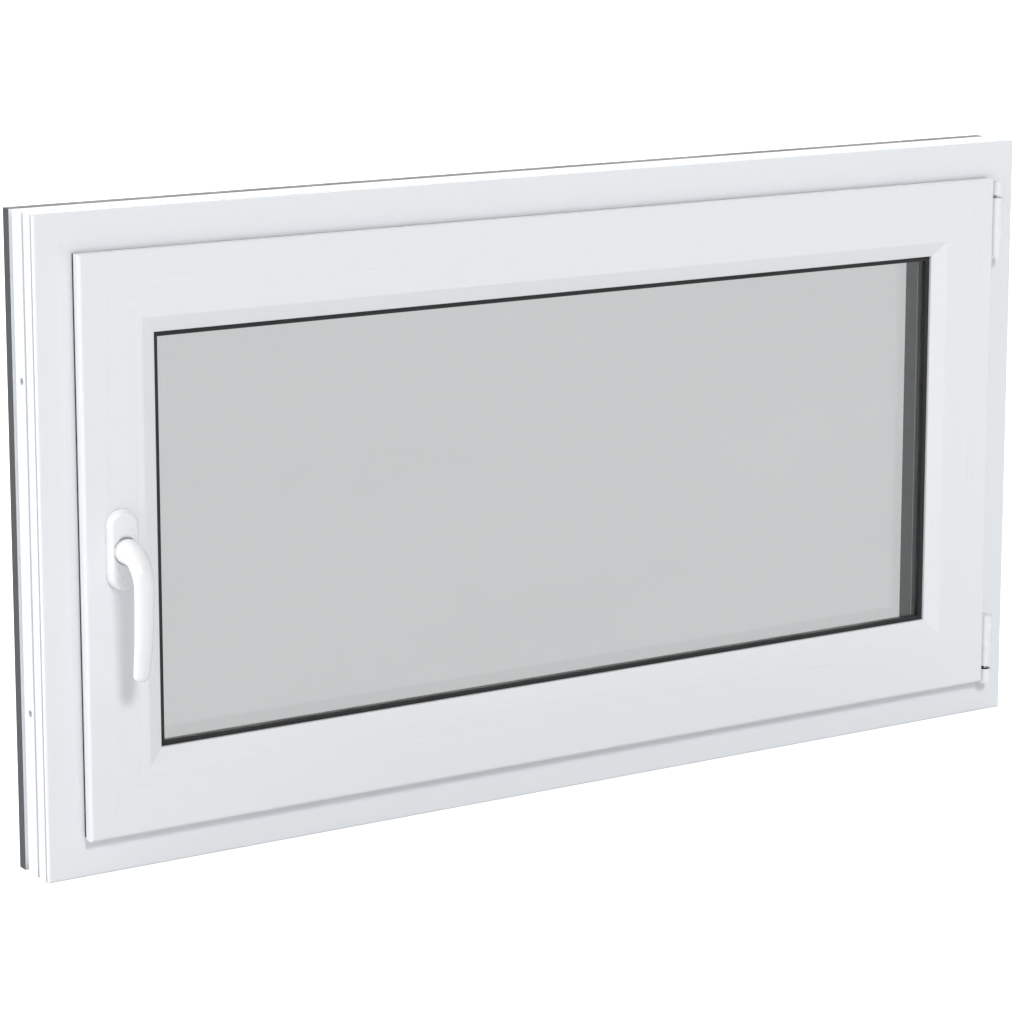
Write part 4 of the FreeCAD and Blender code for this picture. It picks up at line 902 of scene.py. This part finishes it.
def screw_set(name, sizes):
    """All the screws of one node, as one fine piece."""
    facts = [screw_facts(points) for points in islands(frame["nodes"][name].data)]
    _, _, long, head_radius, shank_radius = facts[0]
    prototype = screw_mesh(
        f"{name}_one", long, head_radius, shank_radius, sizes.thread_pitch, sizes.recess_width
    )
    spots = bpy.data.meshes.new(f"{name}_fine")
    spots.from_pydata([top for top, *_ in facts], [], [])
    heading = spots.attributes.new("heading", "FLOAT_VECTOR", "POINT")
    for index, (_, way, *_) in enumerate(facts):
        heading.data[index].vector = -way
    piece = new_piece(f"{name}_fine", spots)
    tree, size_socket = scatter_tree(f"{name}_scatter", prototype, finishes["screw"])
    scatter = piece.modifiers.new("scatter", "NODES")
    scatter.node_group = tree
    scatter[size_socket] = 1.0
    evaluated(piece)
    bpy.data.objects.remove(prototype)
    return keep_piece(piece, name)


class WINDOW_OT_screws(bpy.types.Operator):
    """Set threaded cross-head screws wherever the frame holds a screw"""
    bl_idname = "window.screws"
    bl_label = "Screws"

    def execute(self, context):
        for name in FINISH_OF["screw"]:
            screw_set(name, context.scene.window_hardware)
        return {"FINISHED"}


# ---- stage ----

CAMERA_AT = (-1.822, -2.778, 0.989)
CAMERA_YAW, CAMERA_PITCH = math.radians(32.66), math.radians(10.56)
FLOOR_REACH = 30
FLOOR_GLOW = 0.8  # added where the camera sees the floor
SUNS = (  # name, direction it shines from, spread in degrees
    ("key", (-0.1, -1.0, 0.80), 13),
    ("side", (-1.0, 0.15, 0.3), 60),
    ("back", (0.5, 1.0, 0.7), 60),
)
WHITE = (1, 1, 1, 1)


def soft_light(name, toward, spread, strength):
    """A distant soft light that shines from a direction, evenly over the whole window."""
    lamp = bpy.data.lights.new(name, "SUN")
    lamp.angle = math.radians(spread)
    lamp.energy = strength
    holder = bpy.data.objects.new(name, lamp)
    bpy.context.scene.collection.objects.link(holder)
    holder.rotation_euler = Vector(toward).to_track_quat("Z", "Y").to_euler()


def floor_material(glow, behind_glass):
    """Plain pale floor that reads white to the camera, and even grey through the glass."""
    made = bpy.data.materials.new("pale_floor")
    made.use_nodes = True
    tree = made.node_tree
    shader = tree.nodes["Principled BSDF"]
    shader.inputs["Base Color"].default_value = (0.86, 0.86, 0.86, 1)
    shader.inputs["Roughness"].default_value = 0.9
    shader.inputs["Specular IOR Level"].default_value = 0.1
    shader.inputs["Emission Color"].default_value = WHITE
    seen = add(tree, "ShaderNodeLightPath")
    lit = add(tree, "ShaderNodeMath", {1: glow}, operation="MULTIPLY")
    tree.links.new(seen.outputs["Is Camera Ray"], lit.inputs[0])
    tree.links.new(lit.outputs[0], shader.inputs["Emission Strength"])
    even = add(tree, "ShaderNodeEmission", {"Color": WHITE, "Strength": behind_glass})
    either = add(tree, "ShaderNodeMixShader")
    tree.links.new(seen.outputs["Is Transmission Ray"], either.inputs[0])
    tree.links.new(shader.outputs[0], either.inputs[1])
    tree.links.new(even.outputs[0], either.inputs[2])
    tree.links.new(either.outputs[0], tree.nodes["Material Output"].inputs["Surface"])
    return made


class WINDOW_OT_stage(bpy.types.Operator):
    """Set up the floor, the soft lights and the camera"""
    bl_idname = "window.stage"
    bl_label = "Stage"

    def execute(self, context):
        scene = context.scene
        stage = scene.window_stage
        scene.view_settings.view_transform = "Standard"
        world = bpy.data.worlds.new("studio")
        scene.world = world
        world.use_nodes = True
        tree = world.node_tree
        background = tree.nodes["Background"]
        background.inputs["Color"].default_value = WHITE
        seen = add(tree, "ShaderNodeLightPath")
        strength = stage.sky
        for ray, value in (("Is Transmission Ray", stage.behind_glass), ("Is Camera Ray", 1.0)):
            chosen = add(tree, "ShaderNodeMix", data_type="FLOAT")
            tree.links.new(seen.outputs[ray], chosen.inputs["Factor"])
            if isinstance(strength, bpy.types.NodeSocket):
                tree.links.new(strength, chosen.inputs[2])
            else:
                chosen.inputs[2].default_value = strength
            chosen.inputs[3].default_value = value
            strength = chosen.outputs[0]
        tree.links.new(strength, background.inputs["Strength"])

        mesh = bpy.data.meshes.new("floor")
        low = cad_low.z
        mesh.from_pydata([(x, y, low) for x, y in ((-1, -1), (1, -1), (1, 1), (-1, 1))], [], [(0, 1, 2, 3)])
        mesh.transform(Matrix.Diagonal((FLOOR_REACH, FLOOR_REACH, 1, 1)))
        floor = new_piece("floor", mesh)
        floor.data.materials.append(floor_material(FLOOR_GLOW, stage.behind_glass))

        for name, toward, spread in SUNS:
            soft_light(f"{name}_light", toward, spread, getattr(stage, name))

        lens = bpy.data.cameras.new("camera")
        lens.sensor_width = 36
        lens.lens = stage.lens
        lens.shift_y = stage.shift
        lens.clip_start, lens.clip_end = 0.1, 200
        camera = bpy.data.objects.new("camera", lens)
        scene.collection.objects.link(camera)
        camera.location = CAMERA_AT
        ahead = Vector((
            math.sin(CAMERA_YAW) * math.cos(CAMERA_PITCH),
            math.cos(CAMERA_YAW) * math.cos(CAMERA_PITCH),
            -math.sin(CAMERA_PITCH),
        ))
        camera.rotation_euler = ahead.to_track_quat("-Z", "Y").to_euler()
        scene.camera = camera
        return {"FINISHED"}


class WINDOW_PT_panel(bpy.types.Panel):
    """Lists the window's colours, sizes and build steps"""
    bl_label = "Window"
    bl_idname = "WINDOW_PT_panel"
    bl_space_type = "VIEW_3D"
    bl_region_type = "UI"
    bl_category = "Window"

    def draw(self, context):
        for group in PROPERTY_HOLDERS:
            holder = getattr(context.scene, group)
            for key in holder.bl_rna.properties.keys():
                if key not in ("rna_type", "name"):
                    self.layout.prop(holder, key)
        for operator in OPERATORS:
            self.layout.operator(operator.bl_idname)


PROPERTY_HOLDERS = {
    "window_colours": WindowColours,
    "window_handle": WindowHandle,
    "window_hardware": WindowHardware,
    "window_stage": WindowStage,
}
OPERATORS = (
    WINDOW_OT_finishes,
    WINDOW_OT_lever,
    WINDOW_OT_rosette,
    WINDOW_OT_covers,
    WINDOW_OT_hardware,
    WINDOW_OT_screws,
    WINDOW_OT_stage,
)


def register():
    for made in (*PROPERTY_HOLDERS.values(), *OPERATORS, WINDOW_PT_panel):
        bpy.utils.register_class(made)
    for name, kind in PROPERTY_HOLDERS.items():
        setattr(bpy.types.Scene, name, PointerProperty(type=kind))


def unregister():
    for name in PROPERTY_HOLDERS:
        delattr(bpy.types.Scene, name)
    for made in (WINDOW_PT_panel, *reversed(OPERATORS), *PROPERTY_HOLDERS.values()):
        bpy.utils.unregister_class(made)


def main():
    register()
    bpy.ops.window.finishes()
    bpy.ops.window.lever()
    bpy.ops.window.rosette()
    bpy.ops.window.covers()
    bpy.ops.window.hardware()
    bpy.ops.window.screws()
    bpy.ops.window.stage()


if __name__ == "__main__":
    main()
